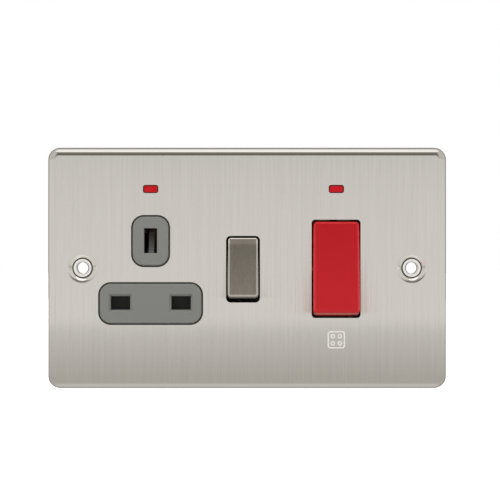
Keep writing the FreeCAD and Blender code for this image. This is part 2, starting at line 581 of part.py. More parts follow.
def cut_front_moulding(owner):
    """Cut the pin slots, rocker wells, bearings, lens seats, bush holes and earthing slot."""
    through = "(island_proud + plate_sheet + panel_wall + guide_depth + 1)"
    sketch = front_sketch(owner, ISLAND_FACE)
    rectangle(sketch, SOCKET_X, "earth_slot_rise", "earth_slot_width", "earth_slot_height")
    for across in (LINE_X, NEUTRAL_X):
        rectangle(sketch, across, PINS_Z, "pin_slot_width", "pin_slot_height")
    pocket(owner, sketch, through)
    flat = at_depth(ISLAND_FACE)
    slots = [(across, PINS_Z, "pin_slot_width", "pin_slot_height") for across in (LINE_X, NEUTRAL_X)]
    dress(owner, "PartDesign::Chamfer", "Size", "pin_slot_lead",
          lambda edge: flat(edge) and any(within(edge, *slot) for slot in slots))
    sketch = front_sketch(owner, PLATE_BACK)
    for kind, (across, _) in ROCKERS.items():
        rocker_window(sketch, kind, across, "well_gap")
    pocket(owner, sketch, "panel_wall + well_depth + 1")
    for kind, (across, _) in ROCKERS.items():
        sketch = side_sketch(owner, across)
        circle(sketch, PIVOT_Y, PIVOT_Z, "(trunnion_radius + bearing_gap)")
        pocket(owner, sketch, f"{kind}_window_width + 2*(well_gap + well_wall + 1)", both=True)
    sketch = front_sketch(owner, PLATE_BACK)
    for across in NEONS.values():
        neon_window(sketch, across)
    for across, up in SCREW_SPOTS:
        circle(sketch, across, up, "(bush_radius + screw_gap)")
    rectangle(sketch, *TAB_SPOT, "(tab_width + 2*tab_room)", "(tab_foot + 2*tab_room)")
    pocket(owner, sketch, "panel_wall + lamp_collar/2")
    sketch = front_sketch(owner, PLATE_BACK)
    for across in NEONS.values():
        margin = "2*(lens_flange + neon_gap)"
        rectangle(sketch, across, NEON_Z, f"(neon_width + {margin})", f"(neon_height + {margin})")
    pocket(owner, sketch, "panel_wall - lens_ledge")
    sketch = front_sketch(owner, f"({PANEL_BACK} + lamp_collar)")
    for across in NEONS.values():
        circle(sketch, across, LAMP_Z, "(lamp_radius + lamp_gap)")
    pocket_on(owner, sketch, "lamp_collar")


TAB_SPOT = (f"({SOCKET_X} + earth_spread)", f"({BLOCK_Z} - block_size/4)")


def make_rear_housing():
    """The open-fronted back box: walls, screw pillars, contact posts, shutter ribs and cable windows."""
    owner = new_body("rear_housing")
    sketch = front_sketch(owner, "housing_depth")
    rounded(sketch, "0", "0", f"2*{OUTER_SIDE}", f"2*{OUTER_TOP}", "housing_corner")
    pad(owner, sketch, f"housing_depth - {PANEL_BACK}")
    sketch = front_sketch(owner, PANEL_BACK)
    rounded(sketch, "0", "0", f"2*{INNER_SIDE}", f"2*{INNER_TOP}", "(housing_corner - housing_wall)")
    pocket(owner, sketch, f"{FLOOR} - {PANEL_BACK}")
    sketch = front_sketch(owner, FLOOR)
    for across, up in SCREW_SPOTS:
        circle(sketch, across, up, "pillar_radius")
    pad(owner, sketch, f"{FLOOR} - {PANEL_BACK}")
    for across, up, level in contact_posts():
        sketch = front_sketch(owner, FLOOR)
        rectangle(sketch, across, up, "post_size", "post_size")
        pad(owner, sketch, f"{FLOOR} - {level}")
    sketch = front_sketch(owner, FLOOR)
    rib_low, rib_high = f"({PINS_Z} - pin_slot_height/2)", "(earth_slot_rise - earth_slot_height/2)"
    for side in (-1, 1):
        rib_x = f"({SOCKET_X} + {side}*rib_offset)"
        rectangle(sketch, rib_x, f"(({rib_low} + {rib_high})/2)", "rib_wall", f"({rib_high} - {rib_low})")
    pad(owner, sketch, f"{FLOOR} - {SHUTTER_BACK} - shutter_gap")
    sketch = front_sketch(owner, PANEL_BACK)
    for across, up in SCREW_SPOTS:
        circle(sketch, across, up, "(screw_radius + screw_gap)")
    pocket(owner, sketch, f"housing_depth - {PANEL_BACK} + 1")
    sketch = front_sketch(owner, "housing_depth")
    for across, up in SCREW_SPOTS:
        circle(sketch, across, up, "(head_radius + access_gap)")
    for across, up in clamp_spots():
        circle(sketch, across, up, "(head_radius + access_gap)")
    pocket_on(owner, sketch, "head_height")
    for side, places in ((-1, list(BLOCKS.values())), (1, list(BLOCKS.values()) + EARTH_WAYS)):
        sketch = plan_sketch(owner, f"({side}*{OUTER_TOP})")
        for across in places:
            rectangle(sketch, across, CABLE_Y, "cable_window", "cable_window")
        cut = pocket if side > 0 else pocket_on
        cut(owner, sketch, "1.5*housing_wall")
    return owner


def contact_posts():
    """Places and levels of the posts that carry the contacts and bars off the housing's floor."""
    posts = [(across, PINS_Z, STRAP_BACK) for across in (LINE_X, NEUTRAL_X)]
    posts.append((SOCKET_X, "earth_slot_rise", EARTH_BACK))
    posts.append((SWITCH_X, fixed_spot("switch"), STRAP_BACK))
    posts.append((SWITCH_X, PIVOT_Z, BAR_BACK))
    posts += [(across, PIVOT_Z, BAR_BACK) for across in POLES.values()]
    return posts


def clamp_spots():
    """Places of the terminal screws, seen from the front."""
    spots = [(across, f"({side}*{BLOCK_Z})") for side in (-1, 1) for across in BLOCKS.values()]
    return spots + [(across, BLOCK_Z) for across in EARTH_WAYS]


def fixed_spot(kind):
    """Height of the fixed contact under a blade's upper end."""
    return f"({PIVOT_Z} + {kind}_blade_reach - rivet_inset)"


def fixed_face(kind):
    """Depth of the fixed contact's face, clear of the closed blade's rivet."""
    swing = f"({kind}_blade_reach - rivet_inset + rivet_radius)*sin(blade_tilt)"
    return f"(knuckle_level + (rivet_height - blade_offset)*cos(blade_tilt) + {swing} + contact_room)"


def fixed_contact(owner, across, kind, level):
    """A contact rivet standing on a bar or strap."""
    sketch = front_sketch(owner, level)
    circle(sketch, across, fixed_spot(kind), "rivet_radius")
    pad(owner, sketch, f"{level} - {fixed_face(kind)}")


def knuckle_post(owner, across):
    """The post that a blade rocks on, with a round end."""
    sketch = side_sketch(owner, across)
    height = "(bar_level - knuckle_level)"
    rectangle(sketch, "((knuckle_level + bar_level)/2)", PIVOT_Z, height, "2*knuckle_radius")
    pad(owner, sketch, "blade_width", both=True)
    sketch = side_sketch(owner, across)
    circle(sketch, "knuckle_level", PIVOT_Z, "knuckle_radius")
    pad(owner, sketch, "blade_width", both=True)


def cable_block(owner, across, width, ways, side):
    """A terminal block on the housing's floor, with cable ways and holes for its screws."""
    sketch = front_sketch(owner, FLOOR)
    rectangle(sketch, across, f"({side}*{BLOCK_Z})", width, "block_size")
    pad(owner, sketch, f"{FLOOR} - bar_level")
    sketch = plan_sketch(owner, f"({side}*{BLOCK_Z})")
    for way in ways:
        circle(sketch, way, CABLE_Y, "(cable_bore/2)")
    pocket(owner, sketch, "1.2*block_size", both=True)
    sketch = front_sketch(owner, FLOOR)
    for way in ways:
        circle(sketch, way, f"({side}*{BLOCK_Z})", "(clamp_radius + screw_gap)")
    pocket_on(owner, sketch, f"{FLOOR} - {CABLE_Y}")


def make_supply_terminal(pole):
    """A supply bar: terminal block below, post for its blade, and a link or seat for the socket's feed."""
    owner = new_body(f"supply_{pole}_terminal")
    across = POLES[pole]
    sketch = front_sketch(owner, BAR_BACK)
    foot, head = f"(0 - {BLOCK_Z} - block_size/2)", f"({PIVOT_Z} + post_size/2)"
    rectangle(sketch, across, f"(({foot} + {head})/2)", "bar_width", f"({head} - {foot})")
    pad(owner, sketch, "bar_sheet")
    cable_block(owner, BLOCKS[pole], "block_size", [BLOCKS[pole]], -1)
    knuckle_post(owner, across)
    if pole == "line":
        sketch = front_sketch(owner, BAR_BACK)
        reach = f"({across} - {SWITCH_X} + post_size/2)"
        rectangle(sketch, f"(({across} + {SWITCH_X} - post_size/2)/2)", PIVOT_Z, reach, "post_size")
        pad(owner, sketch, "bar_sheet")
        knuckle_post(owner, SWITCH_X)
    else:
        sketch = front_sketch(owner, "bar_level")
        rectangle(sketch, across, "(0 - strap_drop)", "strap_width", "strap_width")
        pad(owner, sketch, f"bar_level - {STRAP_BACK}")
    return owner


def make_load_terminal(pole):
    """A load bar: terminal block above and the fixed contact that its blade closes on."""
    owner = new_body(f"load_{pole}_terminal")
    sketch = front_sketch(owner, BAR_BACK)
    foot, head = f"({fixed_spot('cooker')} - rivet_radius - strap_sheet)", f"({BLOCK_Z} + block_size/2)"
    rectangle(sketch, POLES[pole], f"(({foot} + {head})/2)", "bar_width", f"({head} - {foot})")
    pad(owner, sketch, "bar_sheet")
    cable_block(owner, BLOCKS[pole], "block_size", [BLOCKS[pole]], 1)
    fixed_contact(owner, POLES[pole], "cooker", "bar_level")
    return owner


def clip_outline(back, tip, middle):
    """Outline of a two-leaved clip: back strip, two leaves and flared tips, as depth and offset."""
    leaf, outer = "(clip_gap/2)", "(clip_gap/2 + strap_sheet)"
    bend = f"({tip} + flare_length)"
    half = [(back, outer), (bend, outer), (tip, f"({outer} + clip_flare)"), (tip, f"({leaf} + clip_flare)")]
    half += [(bend, leaf), (f"({back} - strap_sheet)", leaf)]
    upper = [(depth, f"({middle} + {offset})") for depth, offset in half]
    lower = [(depth, f"({middle} - {offset})") for depth, offset in reversed(half)]
    return upper + lower


def make_pin_contact(label, across, path):
    """A line or neutral contact: clip round the pin, and a strap along a path of rectangles."""
    owner = new_body(label)
    sketch = side_sketch(owner, across)
    polygon(sketch, clip_outline(STRAP_BACK, "clip_tip", PINS_Z))
    pad(owner, sketch, "clip_width", both=True)
    for left, right, low, high in path:
        sketch = front_sketch(owner, STRAP_BACK)
        polygon(sketch, [(left, low), (right, low), (right, high), (left, high)])
        pad(owner, sketch, "strap_sheet")
    return owner


def make_line_contact():
    """The line contact, whose strap runs up and across to the socket switch's fixed contact."""
    half, top = "(strap_width/2)", fixed_spot("switch")
    rise = (f"({LINE_X} - {half})", f"({LINE_X} + {half})", PINS_Z, f"({top} + {half})")
    run = (f"({LINE_X} - {half})", f"({SWITCH_X} + rivet_radius)", f"({top} - {half})", f"({top} + {half})")
    owner = make_pin_contact("line_contact", LINE_X, [rise, run])
    fixed_contact(owner, SWITCH_X, "switch", "strap_level")
    return owner


def make_neutral_contact():
    """The neutral contact, whose strap runs down and across to the supply neutral bar."""
    half, level = "(strap_width/2)", "(0 - strap_drop)"
    fall = (f"({NEUTRAL_X} - {half})", f"({NEUTRAL_X} + {half})", f"({level} - {half})", PINS_Z)
    end = f"({POLES['neutral']} + {half})"
    run = (f"({NEUTRAL_X} - {half})", end, f"({level} - {half})", f"({level} + {half})")
    return make_pin_contact("neutral_contact", NEUTRAL_X, [fall, run])


def make_earth_contact():
    """The earth contact: clip round the earth pin, strap and a block with two cable ways."""
    owner = new_body("earth_contact")
    sketch = plan_sketch(owner, "earth_slot_rise")
    polygon(sketch, [(offset, depth) for depth, offset in clip_outline(EARTH_BACK, "earth_tip", SOCKET_X)])
    pad(owner, sketch, "clip_width", both=True)
    sketch = front_sketch(owner, EARTH_BACK)
    foot, head = "(earth_slot_rise - clip_width/2)", f"{BLOCK_Z}"
    rectangle(sketch, SOCKET_X, f"(({foot} + {head})/2)", "strap_width", f"({head} - {foot})")
    pad(owner, sketch, "strap_sheet")
    cable_block(owner, SOCKET_X, "(earth_spread + block_size)", EARTH_WAYS, 1)
    return owner


def make_earth_tab():
    """The strip that earths the plate: up from the earth block, with a foot against the plate's back."""
    owner = new_body("plate_earth_tab")
    across, up = TAB_SPOT
    sketch = side_sketch(owner, across)
    low, high = f"({up} - tab_foot/2)", f"({up} + tab_foot/2)"
    back, front = "bar_level", PLATE_BACK
    polygon(sketch, [
        (front, low),
        (back, low),
        (back, f"({low} + strap_sheet)"),
        (f"({front} + strap_sheet)", f"({low} + strap_sheet)"),
        (f"({front} + strap_sheet)", high),
        (front, high),
    ])
    pad(owner, sketch, "tab_width", both=True)
    return owner


def make_shutter():
    """The shutter: a bar over the line and neutral slots, a neck and a ramp in the earth slot."""
    owner = new_body("shutter")
    front = f"({PANEL_BACK} + shutter_gap)"
    span, reach = "(pin_spread + pin_slot_width + 2*shutter_lap)", "(pin_slot_height/2 + shutter_cover)"
    foot = "(earth_slot_rise - earth_slot_height/2)"
    sketch = front_sketch(owner, SHUTTER_BACK)
    rectangle(sketch, SOCKET_X, PINS_Z, span, f"2*{reach}")
    pad(owner, sketch, "shutter_wall")
    sketch = front_sketch(owner, SHUTTER_BACK)
    rectangle(sketch, SOCKET_X, f"(({PINS_Z} + {foot})/2)", "shutter_neck", f"({foot} - {PINS_Z})")
    pad(owner, sketch, "shutter_wall")
    sketch = side_sketch(owner, SOCKET_X)
    polygon(sketch, [
        (front, f"({foot} - shutter_wall)"),
        (front, foot),
        (f"({SHUTTER_BACK} - ramp_tip)", f"({foot} + ramp_rise)"),
        (SHUTTER_BACK, f"({foot} + ramp_rise)"),
        (SHUTTER_BACK, f"({foot} - shutter_wall)"),
    ])
    pad(owner, sketch, "shutter_tongue", both=True)
    return owner


def make_coil(label, radius, low, high, turns):
    """A coil spring of square wire about the Z axis, between two levels on it."""
    owner = new_body(label)
    sketch = new_sketch(owner, "XZ_Plane", "0")
    rectangle(sketch, radius, f"({low} + wire_size/2)", "wire_size", "wire_size")
    doc.recompute()
    coil = owner.newObject("PartDesign::AdditiveHelix", label + "_coil")
    coil.Profile = sketch
    coil.ReferenceAxis = (sketch, ["V_Axis"])
    coil.Mode = "height-turns-angle"
    coil.Turns = turns
    bind(coil, "Height", f"{high} - {low} - wire_size")
    doc.recompute()
    return owner


def make_shutter_spring():
    """The spring that lifts the shutter, standing on the housing's lower wall."""
    seat = f"(coil_room - {INNER_TOP})"
    bar_low = f"({PINS_Z} - pin_slot_height/2 - shutter_cover - coil_room)"
    owner = make_coil("shutter_spring", "coil_radius", seat, bar_low, SHUTTER_TURNS)
    bind(owner, "Placement.Base.x", SOCKET_X)
    bind(owner, "Placement.Base.y", f"({SHUTTER_FRONT} + {SHUTTER_BACK})/2")
    return owner


def rocker_outline(owner, kind, inset, back):
    """The side of a rocker about its pivot: flat face, flat back and ends round the pivot."""
    sketch = side_sketch(owner, "0")
    radius, face = f"({kind}_radius - {inset})", f"(0 - {kind}_face + {inset})"
    front_z, back_z = f"sqrt({radius}^2 - {face}^2)", f"sqrt({radius}^2 - {back}^2)"
    corners = [(face, f"(0 - {front_z})"), (back, f"(0 - {back_z})"), (back, back_z), (face, front_z)]
    spots = [FreeCAD.Vector(read(u), read(v), 0) for u, v in corners]
    for k in (0, 2):
        crown = spots[k] + spots[k + 1]
        crown.Length = read(radius)
        sketch.addGeometry(Part.Arc(spots[k], crown, spots[k + 1]))
        sketch.addGeometry(Part.LineSegment(spots[k + 1], spots[(k + 2) % 4]))
    held = [entry for arc in (0, 2) for entry in pins(arc, 3, "0", "0") + [(("Radius", arc), radius)]]
    low_first, high_first = starts_first(sketch, 0, spots[0]), starts_first(sketch, 2, spots[2])
    arc_ends = [(0, 1 if low_first else 2), (0, 2 if low_first else 1)]
    arc_ends += [(2, 1 if high_first else 2), (2, 2 if high_first else 1)]
    joins = [("Coincident", *arc_ends[1], 1, 1), ("Coincident", 1, 2, *arc_ends[2])]
    joins += [("Coincident", *arc_ends[3], 3, 1), ("Coincident", 3, 2, *arc_ends[0])]
    joins += [("Vertical", 1), ("Vertical", 3)]
    held += [(("DistanceX", -1, 1, 3, 1), face), (("DistanceX", -1, 1, 1, 1), back)]
    constrain(sketch, held, joins)
    return sketch


def starts_first(sketch, index, spot):
    """Tell whether a sketch arc starts at a spot."""
    return sketch.getPoint(index, 1).distanceToPoint(spot) < 1e-3


def round_face(owner, kind):
    """Round a rocker's corners, then the edge all round its face."""
    fillet(owner, f"{kind}_corner", lambda edge: edge.BoundBox.XLength < 1e-3 and edge.BoundBox.YLength > 1)
    fillet(owner, f"{kind}_edge", at_depth(f"(0 - {kind}_face)"))


def make_rocker_cap(kind):
    """The pressed metal cap over a rocker, tilted with it."""
    owner = new_body(f"{kind}_rocker_cap")
    pad(owner, rocker_outline(owner, kind, "0", "(0 - cap_setback)"), f"{kind}_width", both=True)
    round_face(owner, kind)
    hollow = rocker_outline(owner, kind, "cap_sheet", "(cap_sheet - cap_setback)")
    pocket(owner, hollow, f"{kind}_width - 2*cap_sheet", both=True)
    tilt_off(owner, kind, "0")
    return owner


def make_rocker(kind, inset):
    """A hollow rocker with two trunnions and a stem for each plunger, tilted to off."""
    owner = new_body(f"{kind}_rocker")
    width, stems = f"({kind}_width - 2*{inset})", ROCKERS[kind][1]
    wall = f"({inset} + rocker_wall)"
    pad(owner, rocker_outline(owner, kind, inset, "rocker_skirt"), width, both=True)
    if inset == "0":
        round_face(owner, kind)
    hollow = rocker_outline(owner, kind, wall, "(rocker_skirt + rocker_wall)")
    pocket(owner, hollow, f"{kind}_width - 2*{wall}", both=True)
    for sign in (-1, 1):
        sketch = side_sketch(owner, f"({sign}*({width}/2 - rocker_wall/2))")
        circle(sketch, "0", "0", "trunnion_radius")
        add = pad if sign > 0 else pad_back
        add(owner, sketch, f"rocker_wall/2 + {inset} + trunnion_reach")
    sketch = front_sketch(owner, "stem_reach")
    for _, across in stems:
        circle(sketch, across, "0", "stem_radius")
    pad(owner, sketch, f"stem_reach + {kind}_face - {wall} + rocker_wall/2")
    sketch = front_sketch(owner, "stem_reach")
    for _, across in stems:
        circle(sketch, across, "0", "(plunger_radius + plunger_gap)")
    pocket_on(owner, sketch, f"stem_reach + {kind}_face - {wall}")
    tilt_off(owner, kind, "0")
    return owner


def tilt_off(owner, kind, across):
    """Put a piece of a rocker on its pivot, tilted to off."""
    turn = FreeCAD.Rotation(FreeCAD.Vector(1, 0, 0), -1)
    owner.Placement = FreeCAD.Placement(FreeCAD.Vector(0, 0, 0), turn)
    bind(owner, "Placement.Rotation.Angle", f"0 - {kind}_tilt")
    bind(owner, "Placement.Base.x", f"{ROCKERS[kind][0]} + {across}")
    bind(owner, "Placement.Base.y", PIVOT_Y)
    bind(owner, "Placement.Base.z", PIVOT_Z)


def make_plunger(kind, pole, across):
    """A plunger with a domed nose, in its rocker's stem."""
    owner = new_body(f"{kind}_plunger_{pole}".rstrip("_"))
    sketch = front_sketch(owner, PLUNGER_TIP)
    circle(sketch, "0", "0", "plunger_radius")
    pad(owner, sketch, f"{PLUNGER_TIP} - plunger_back")
    fillet(owner, "0.9*plunger_radius", at_depth(PLUNGER_TIP))
    tilt_off(owner, kind, across)
    return owner


PLUNGER_TIP = "(knuckle_level - blade_offset - blade_sheet - plunger_room + pivot_rise)"
SHUTTER_TURNS = 6
PLUNGER_TURNS = 4


def make_plunger_spring(kind, pole, across):
    """The spring behind a plunger, in the same stem."""
    low = "(coil_room/2 - plunger_back)"
    high = f"({kind}_face - {CAP_ROOM[kind]} - rocker_wall - coil_room/2)"
    radius = "(plunger_radius - wire_size/2 - coil_room/2)"
    owner = make_coil(f"{kind}_spring_{pole}".rstrip("_"), radius, low, high, PLUNGER_TURNS)
    tilt_off(owner, kind, across)
    bind(owner, "Placement.Rotation.Angle", f"90 - {kind}_tilt")
    return owner


def make_blade(kind, pole, across):
    """A rocking contact blade with a groove for its post and a rivet at its upper end, tilted to off."""
    owner = new_body(f"{kind}_blade_{pole}".rstrip("_"))
    sketch = side_sketch(owner, "0")
    rectangle(sketch, "(0 - blade_offset - blade_sheet/2)", "0", "blade_sheet", f"2*{kind}_blade_reach")
    pad(owner, sketch, "blade_width", both=True)
    sketch = side_sketch(owner, "0")
    circle(sketch, "0", "0", "(knuckle_radius + knuckle_gap)")
    pocket(owner, sketch, "1.2*blade_width", both=True)
    sketch = front_sketch(owner, "(rivet_height - blade_offset)")
    circle(sketch, "0", f"({kind}_blade_reach - rivet_inset)", "rivet_radius")
    pad(owner, sketch, "rivet_height")
    tilt_off(owner, kind, across)
    bind(owner, "Placement.Rotation.Angle", "blade_tilt")
    bind(owner, "Placement.Base.y", "knuckle_level")
    return owner


def make_lens(name, across):
    """An indicator lens: a window block, and a flange whose ears are held between plate and panel."""
    owner = new_body(f"{name}_lamp_lens")
    sketch = front_sketch(owner, PANEL_BACK)
    rounded(sketch, across, NEON_Z, "neon_width", "neon_height", "neon_corner")
    pad(owner, sketch, f"{PANEL_BACK} - {PLATE_FACE} - neon_sink")
    sketch = front_sketch(owner, f"({PANEL_BACK} - lens_ledge)")
    rectangle(sketch, across, NEON_Z, "(neon_width + 2*lens_flange)", "(neon_height + 2*lens_flange)")
    pad(owner, sketch, "lens_sheet")
    sketch = front_sketch(owner, f"({PANEL_BACK} - lens_ledge)")
    for side in (-1, 1):
        ear_x = f"({across} + {side}*(neon_width/2 + lens_flange - lens_ear/2))"
        rectangle(sketch, ear_x, NEON_Z, "lens_ear", "neon_height")
    pad(owner, sketch, "panel_wall - lens_ledge")
    return owner


def make_lamp(name, across):
    """A neon lamp: a sealed glass capsule with two leads."""
    owner = new_body(f"{name}_neon_lamp")
    back = f"({LAMP_FRONT} + lamp_length)"
    sketch = front_sketch(owner, back)
    circle(sketch, across, LAMP_Z, "lamp_radius")
    pad(owner, sketch, "lamp_length")
    fillet(owner, "0.8*lamp_radius", at_depth(LAMP_FRONT))
    sketch = front_sketch(owner, f"({back} + lead_length)")
    for side in (-1, 1):
        circle(sketch, f"({across} + {side}*lamp_radius/2)", LAMP_Z, "lead_radius")
    pad(owner, sketch, "lead_length")
    return owner


def screw_solid(across, up, seat, tip, radius):
    """A slotted screw along Y: its head behind the seat, its shank forward to the tip."""
    head = doc.addObject("Part::Cylinder", "screw_head")
    shank = doc.addObject("Part::Cylinder", "screw_shank")
    slot = doc.addObject("Part::Box", "screw_slot")
    away = FreeCAD.Rotation(FreeCAD.Vector(1, 0, 0), -90)
    rods = ((head, seat, "head_height", "head_radius"), (shank, tip, f"{seat} - {tip}", radius))
    for piece, start, length, size in rods:
        piece.Placement = FreeCAD.Placement(FreeCAD.Vector(0, 0, 0), away)
        bind(piece, "Radius", size)
        bind(piece, "Height", length)
        bind(piece, "Placement.Base.x", across)
        bind(piece, "Placement.Base.y", start)
        bind(piece, "Placement.Base.z", up)
    for name, length in (("Length", "2*head_radius"), ("Width", "head_height/2"), ("Height", "head_slot")):
        bind(slot, name, length)
    bind(slot, "Placement.Base.x", f"{across} - head_radius")
    bind(slot, "Placement.Base.y", f"{seat} + head_height/2")
    bind(slot, "Placement.Base.z", f"{up} - head_slot/2")
    joined = doc.addObject("Part::Fuse", "screw_blank")
    joined.Base = head
    joined.Tool = shank
    slotted = doc.addObject("Part::Cut", "screw")
    slotted.Base = joined
    slotted.Tool = slot
    return slotted


def make_group(label, solids):
    """Like fasteners kept together as separate solids."""
    group = doc.addObject("Part::Compound", label)
    group.Label = label
    group.Links = solids
    return group


def make_screws():
    """The housing screws, up into the plate's bushes, and the terminal screws, backed off."""
    tip = f"({PLATE_BACK} + screw_tip)"
    seat = "(housing_depth - head_height)"
    housing = [screw_solid(across, up, seat, tip, "screw_radius") for across, up in SCREW_SPOTS]
    clamp_tip = f"({CABLE_Y} + cable_bore/2 + clamp_room)"
    clamps = [screw_solid(across, up, seat, clamp_tip, "clamp_radius") for across, up in clamp_spots()]
    return [make_group("housing_screws", housing), make_group("terminal_screws", clamps)]


def make_switch(kind):
    """All the pieces that move with one rocker."""
    pieces = [make_rocker(kind, CAP_ROOM[kind])]
    for pole, across in ROCKERS[kind][1]:
        pieces.append(make_plunger(kind, pole, across))
        pieces.append(make_plunger_spring(kind, pole, across))
        pieces.append(make_blade(kind, pole, across))
    return pieces


pieces = [make_front_plate(), make_fixing_sleeves(), make_front_moulding(), make_rear_housing()]
pieces += [make_shutter(), make_shutter_spring()]
pieces += [make_earth_contact(), make_line_contact(), make_neutral_contact(), make_earth_tab()]
for pole in POLES:
    pieces += [make_supply_terminal(pole), make_load_terminal(pole)]
for kind in ROCKERS:
    pieces += make_switch(kind)
pieces.append(make_rocker_cap("switch"))
for name, across in NEONS.items():
    pieces += [make_lens(name, across), make_lamp(name, across)]
pieces += make_screws()
doc.recompute()

faults = [item.Name for item in doc.Objects if {"Invalid", "Error"} & set(item.State)]
faults += [piece.Label for piece in pieces if piece.Shape.isNull() or not piece.Shape.isValid()]
if faults:
    raise RuntimeError("These did not build: " + ", ".join(faults))
os.makedirs("parts", exist_ok=True)
for piece in pieces:
    piece.Shape.exportStep(f"parts/{piece.Label}.step")
    print(piece.Label, len(piece.Shape.Solids), round(piece.Shape.Volume, 1))
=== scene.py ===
"""Looks of the cooker control unit: steel, plastics, brass, a wound spring, a printed mark and a studio."""
import json
import math

import bmesh
import bpy
from mathutils import Matrix, Vector


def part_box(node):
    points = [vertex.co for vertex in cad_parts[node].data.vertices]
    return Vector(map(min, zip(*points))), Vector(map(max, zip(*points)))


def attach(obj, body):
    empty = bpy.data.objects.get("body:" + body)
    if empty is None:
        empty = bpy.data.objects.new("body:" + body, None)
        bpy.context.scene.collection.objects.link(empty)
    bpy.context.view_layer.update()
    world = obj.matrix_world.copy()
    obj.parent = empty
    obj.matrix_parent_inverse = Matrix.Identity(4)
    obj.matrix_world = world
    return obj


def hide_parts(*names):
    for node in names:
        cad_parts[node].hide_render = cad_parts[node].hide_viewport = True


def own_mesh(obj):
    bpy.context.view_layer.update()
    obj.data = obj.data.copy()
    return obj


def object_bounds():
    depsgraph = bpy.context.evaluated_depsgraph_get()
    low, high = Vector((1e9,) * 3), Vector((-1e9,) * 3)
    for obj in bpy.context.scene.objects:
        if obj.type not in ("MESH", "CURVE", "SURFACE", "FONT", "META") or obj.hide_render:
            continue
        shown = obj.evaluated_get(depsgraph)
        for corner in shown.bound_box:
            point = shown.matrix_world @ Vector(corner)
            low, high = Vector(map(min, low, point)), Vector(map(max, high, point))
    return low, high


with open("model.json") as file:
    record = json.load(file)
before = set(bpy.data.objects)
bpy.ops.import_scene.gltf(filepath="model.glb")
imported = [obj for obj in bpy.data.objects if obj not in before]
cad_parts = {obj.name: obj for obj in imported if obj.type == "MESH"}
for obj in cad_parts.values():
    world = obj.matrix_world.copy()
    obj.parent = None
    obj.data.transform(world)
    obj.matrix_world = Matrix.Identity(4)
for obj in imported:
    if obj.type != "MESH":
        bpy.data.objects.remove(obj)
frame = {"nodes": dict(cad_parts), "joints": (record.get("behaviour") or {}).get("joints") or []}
CAD_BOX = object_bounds()

bl_info = {
    "name": "Cooker control unit",
    "version": (1, 0, 0),
    "blender": (4, 2, 0),
    "location": "3D View > Sidebar > Cooker unit",
    "description": "Finishes, printed mark and studio for a cooker control unit",
    "category": "Object",
}

PLATE_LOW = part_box("front_plate")[0]
SPRING_LOW, SPRING_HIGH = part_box("shutter_spring")
SLEEVE_LOW, SLEEVE_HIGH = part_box("fixing_sleeves")
FLANGE = (SLEEVE_HIGH.z - SLEEVE_LOW.z) / 2
HOLE_ACROSS = SLEEVE_HIGH.x - FLANGE
ROCKER_LOW, ROCKER_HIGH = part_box("cooker_rocker")
CAP_LOW, CAP_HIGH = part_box("switch_rocker_cap")

PLUNGER_PIECES = ("switch_plunger", "cooker_plunger_line", "cooker_plunger_neutral")
BRONZE_PIECES = ("earth_contact", "line_contact", "neutral_contact")
BRASS_PIECES = (
    "plate_earth_tab",
    "supply_line_terminal", "supply_neutral_terminal", "load_line_terminal", "load_neutral_terminal",
    "switch_blade", "cooker_blade_line", "cooker_blade_neutral",
)
LENS_PIECES = ("socket_lamp_lens", "cooker_lamp_lens")
LAMP_PIECES = ("socket_neon_lamp", "cooker_neon_lamp")
FASTENER_PIECES = (
    "housing_screws", "terminal_screws",
    "switch_spring", "cooker_spring_line", "cooker_spring_neutral",
)

# Where each finish, painted highlight and painted shade starts and ends, in metres from the edge or middle
# that each is named for
FACE_DEPTH = (0.000002, 0.00002)
# The next five: where the painted highlights in the plate's dishes and the painted shadow line round the
# sleeves start and end
DISH_RIM = 0.0003
JOINT_SHADOW_LINE = (0.00022, 0.0003)
OVER_HOLE = (-0.0002, 0.0010)
BESIDE_HOLE = (0.0034, 0.0043)
LEVEL_WITH_HOLE = (0.0004, 0.0013)
# Where the painted shade on the sleeves' outer edge starts and ends
SLEEVE_EDGE = (-0.00020, -0.00012)
# Where the painted highlight on the cap's top and the painted shade on its lower lip start and end
CAP_TOP = (-0.0036, -0.0018)
CAP_LIP = (0.0012, 0.0015)
# Where the painted highlights on the cooker rocker's sides, top and lower edge start and end
ROCKER_SIDE = (-0.0010, -0.0002)
ROCKER_TOP = (-0.0012, -0.0004)
SILL_START = (0.0004, 0.0008)
SILL_END = (0.0010, 0.0015)
RAMP_RISE = (0.0, 0.004)

# Scales of noise, in cycles a metre along each axis
MOULD_CLOUD = (180.0, 180.0, 180.0)
SPARK_GRAIN = (9000.0, 9000.0, 9000.0)
SCUFFS = (6000.0, 6000.0, 700.0)
ROLLING_LINES = (500.0, 500.0, 6000.0)
TARNISH_CLOUD = (260.0, 260.0, 260.0)
LENS_CLOUD = (700.0, 700.0, 700.0)
SMOKE_CLOUD = (400.0, 400.0, 400.0)
INK_CLOUD = (4000.0, 4000.0, 4000.0)
FLOOR_CLOUD = (3.0, 3.0, 3.0)

# Depths of relief in metres, but of a scratch in widths of it
SCRATCH_DEPTH = 2.7
SPARK_DEPTH = 0.00005
SCUFF_DEPTH = 0.00003
ROLLING_DEPTH = 0.00004
INK_DEPTH = 0.00002

# Roughness, as the two ends of a mix or as a change about a mean
ROCKER_GLOSS = (0.12, 0.18)
SHUTTER_GLOSS = (0.55, 0.35)
LENS_GLOSS = (0.25, 0.35)
GLASS_GLOSS = (0.04, 0.12)
INK_GLOSS = (0.5, 0.6)
TURNING_CHANGE = 0.1
MOULD_CHANGE = 0.1
TARNISH_CHANGE = -0.2

# Shares in mixed patterns and tints
STREAK_FINE, STREAK_BROAD, STREAK_SHORT = 0.45, 0.3, 0.25
# How much of the plate's own colour shows beside a hole instead of the dish's painted highlight
BESIDE_SHARE = 0.7
TURNING_TINT = 0.94
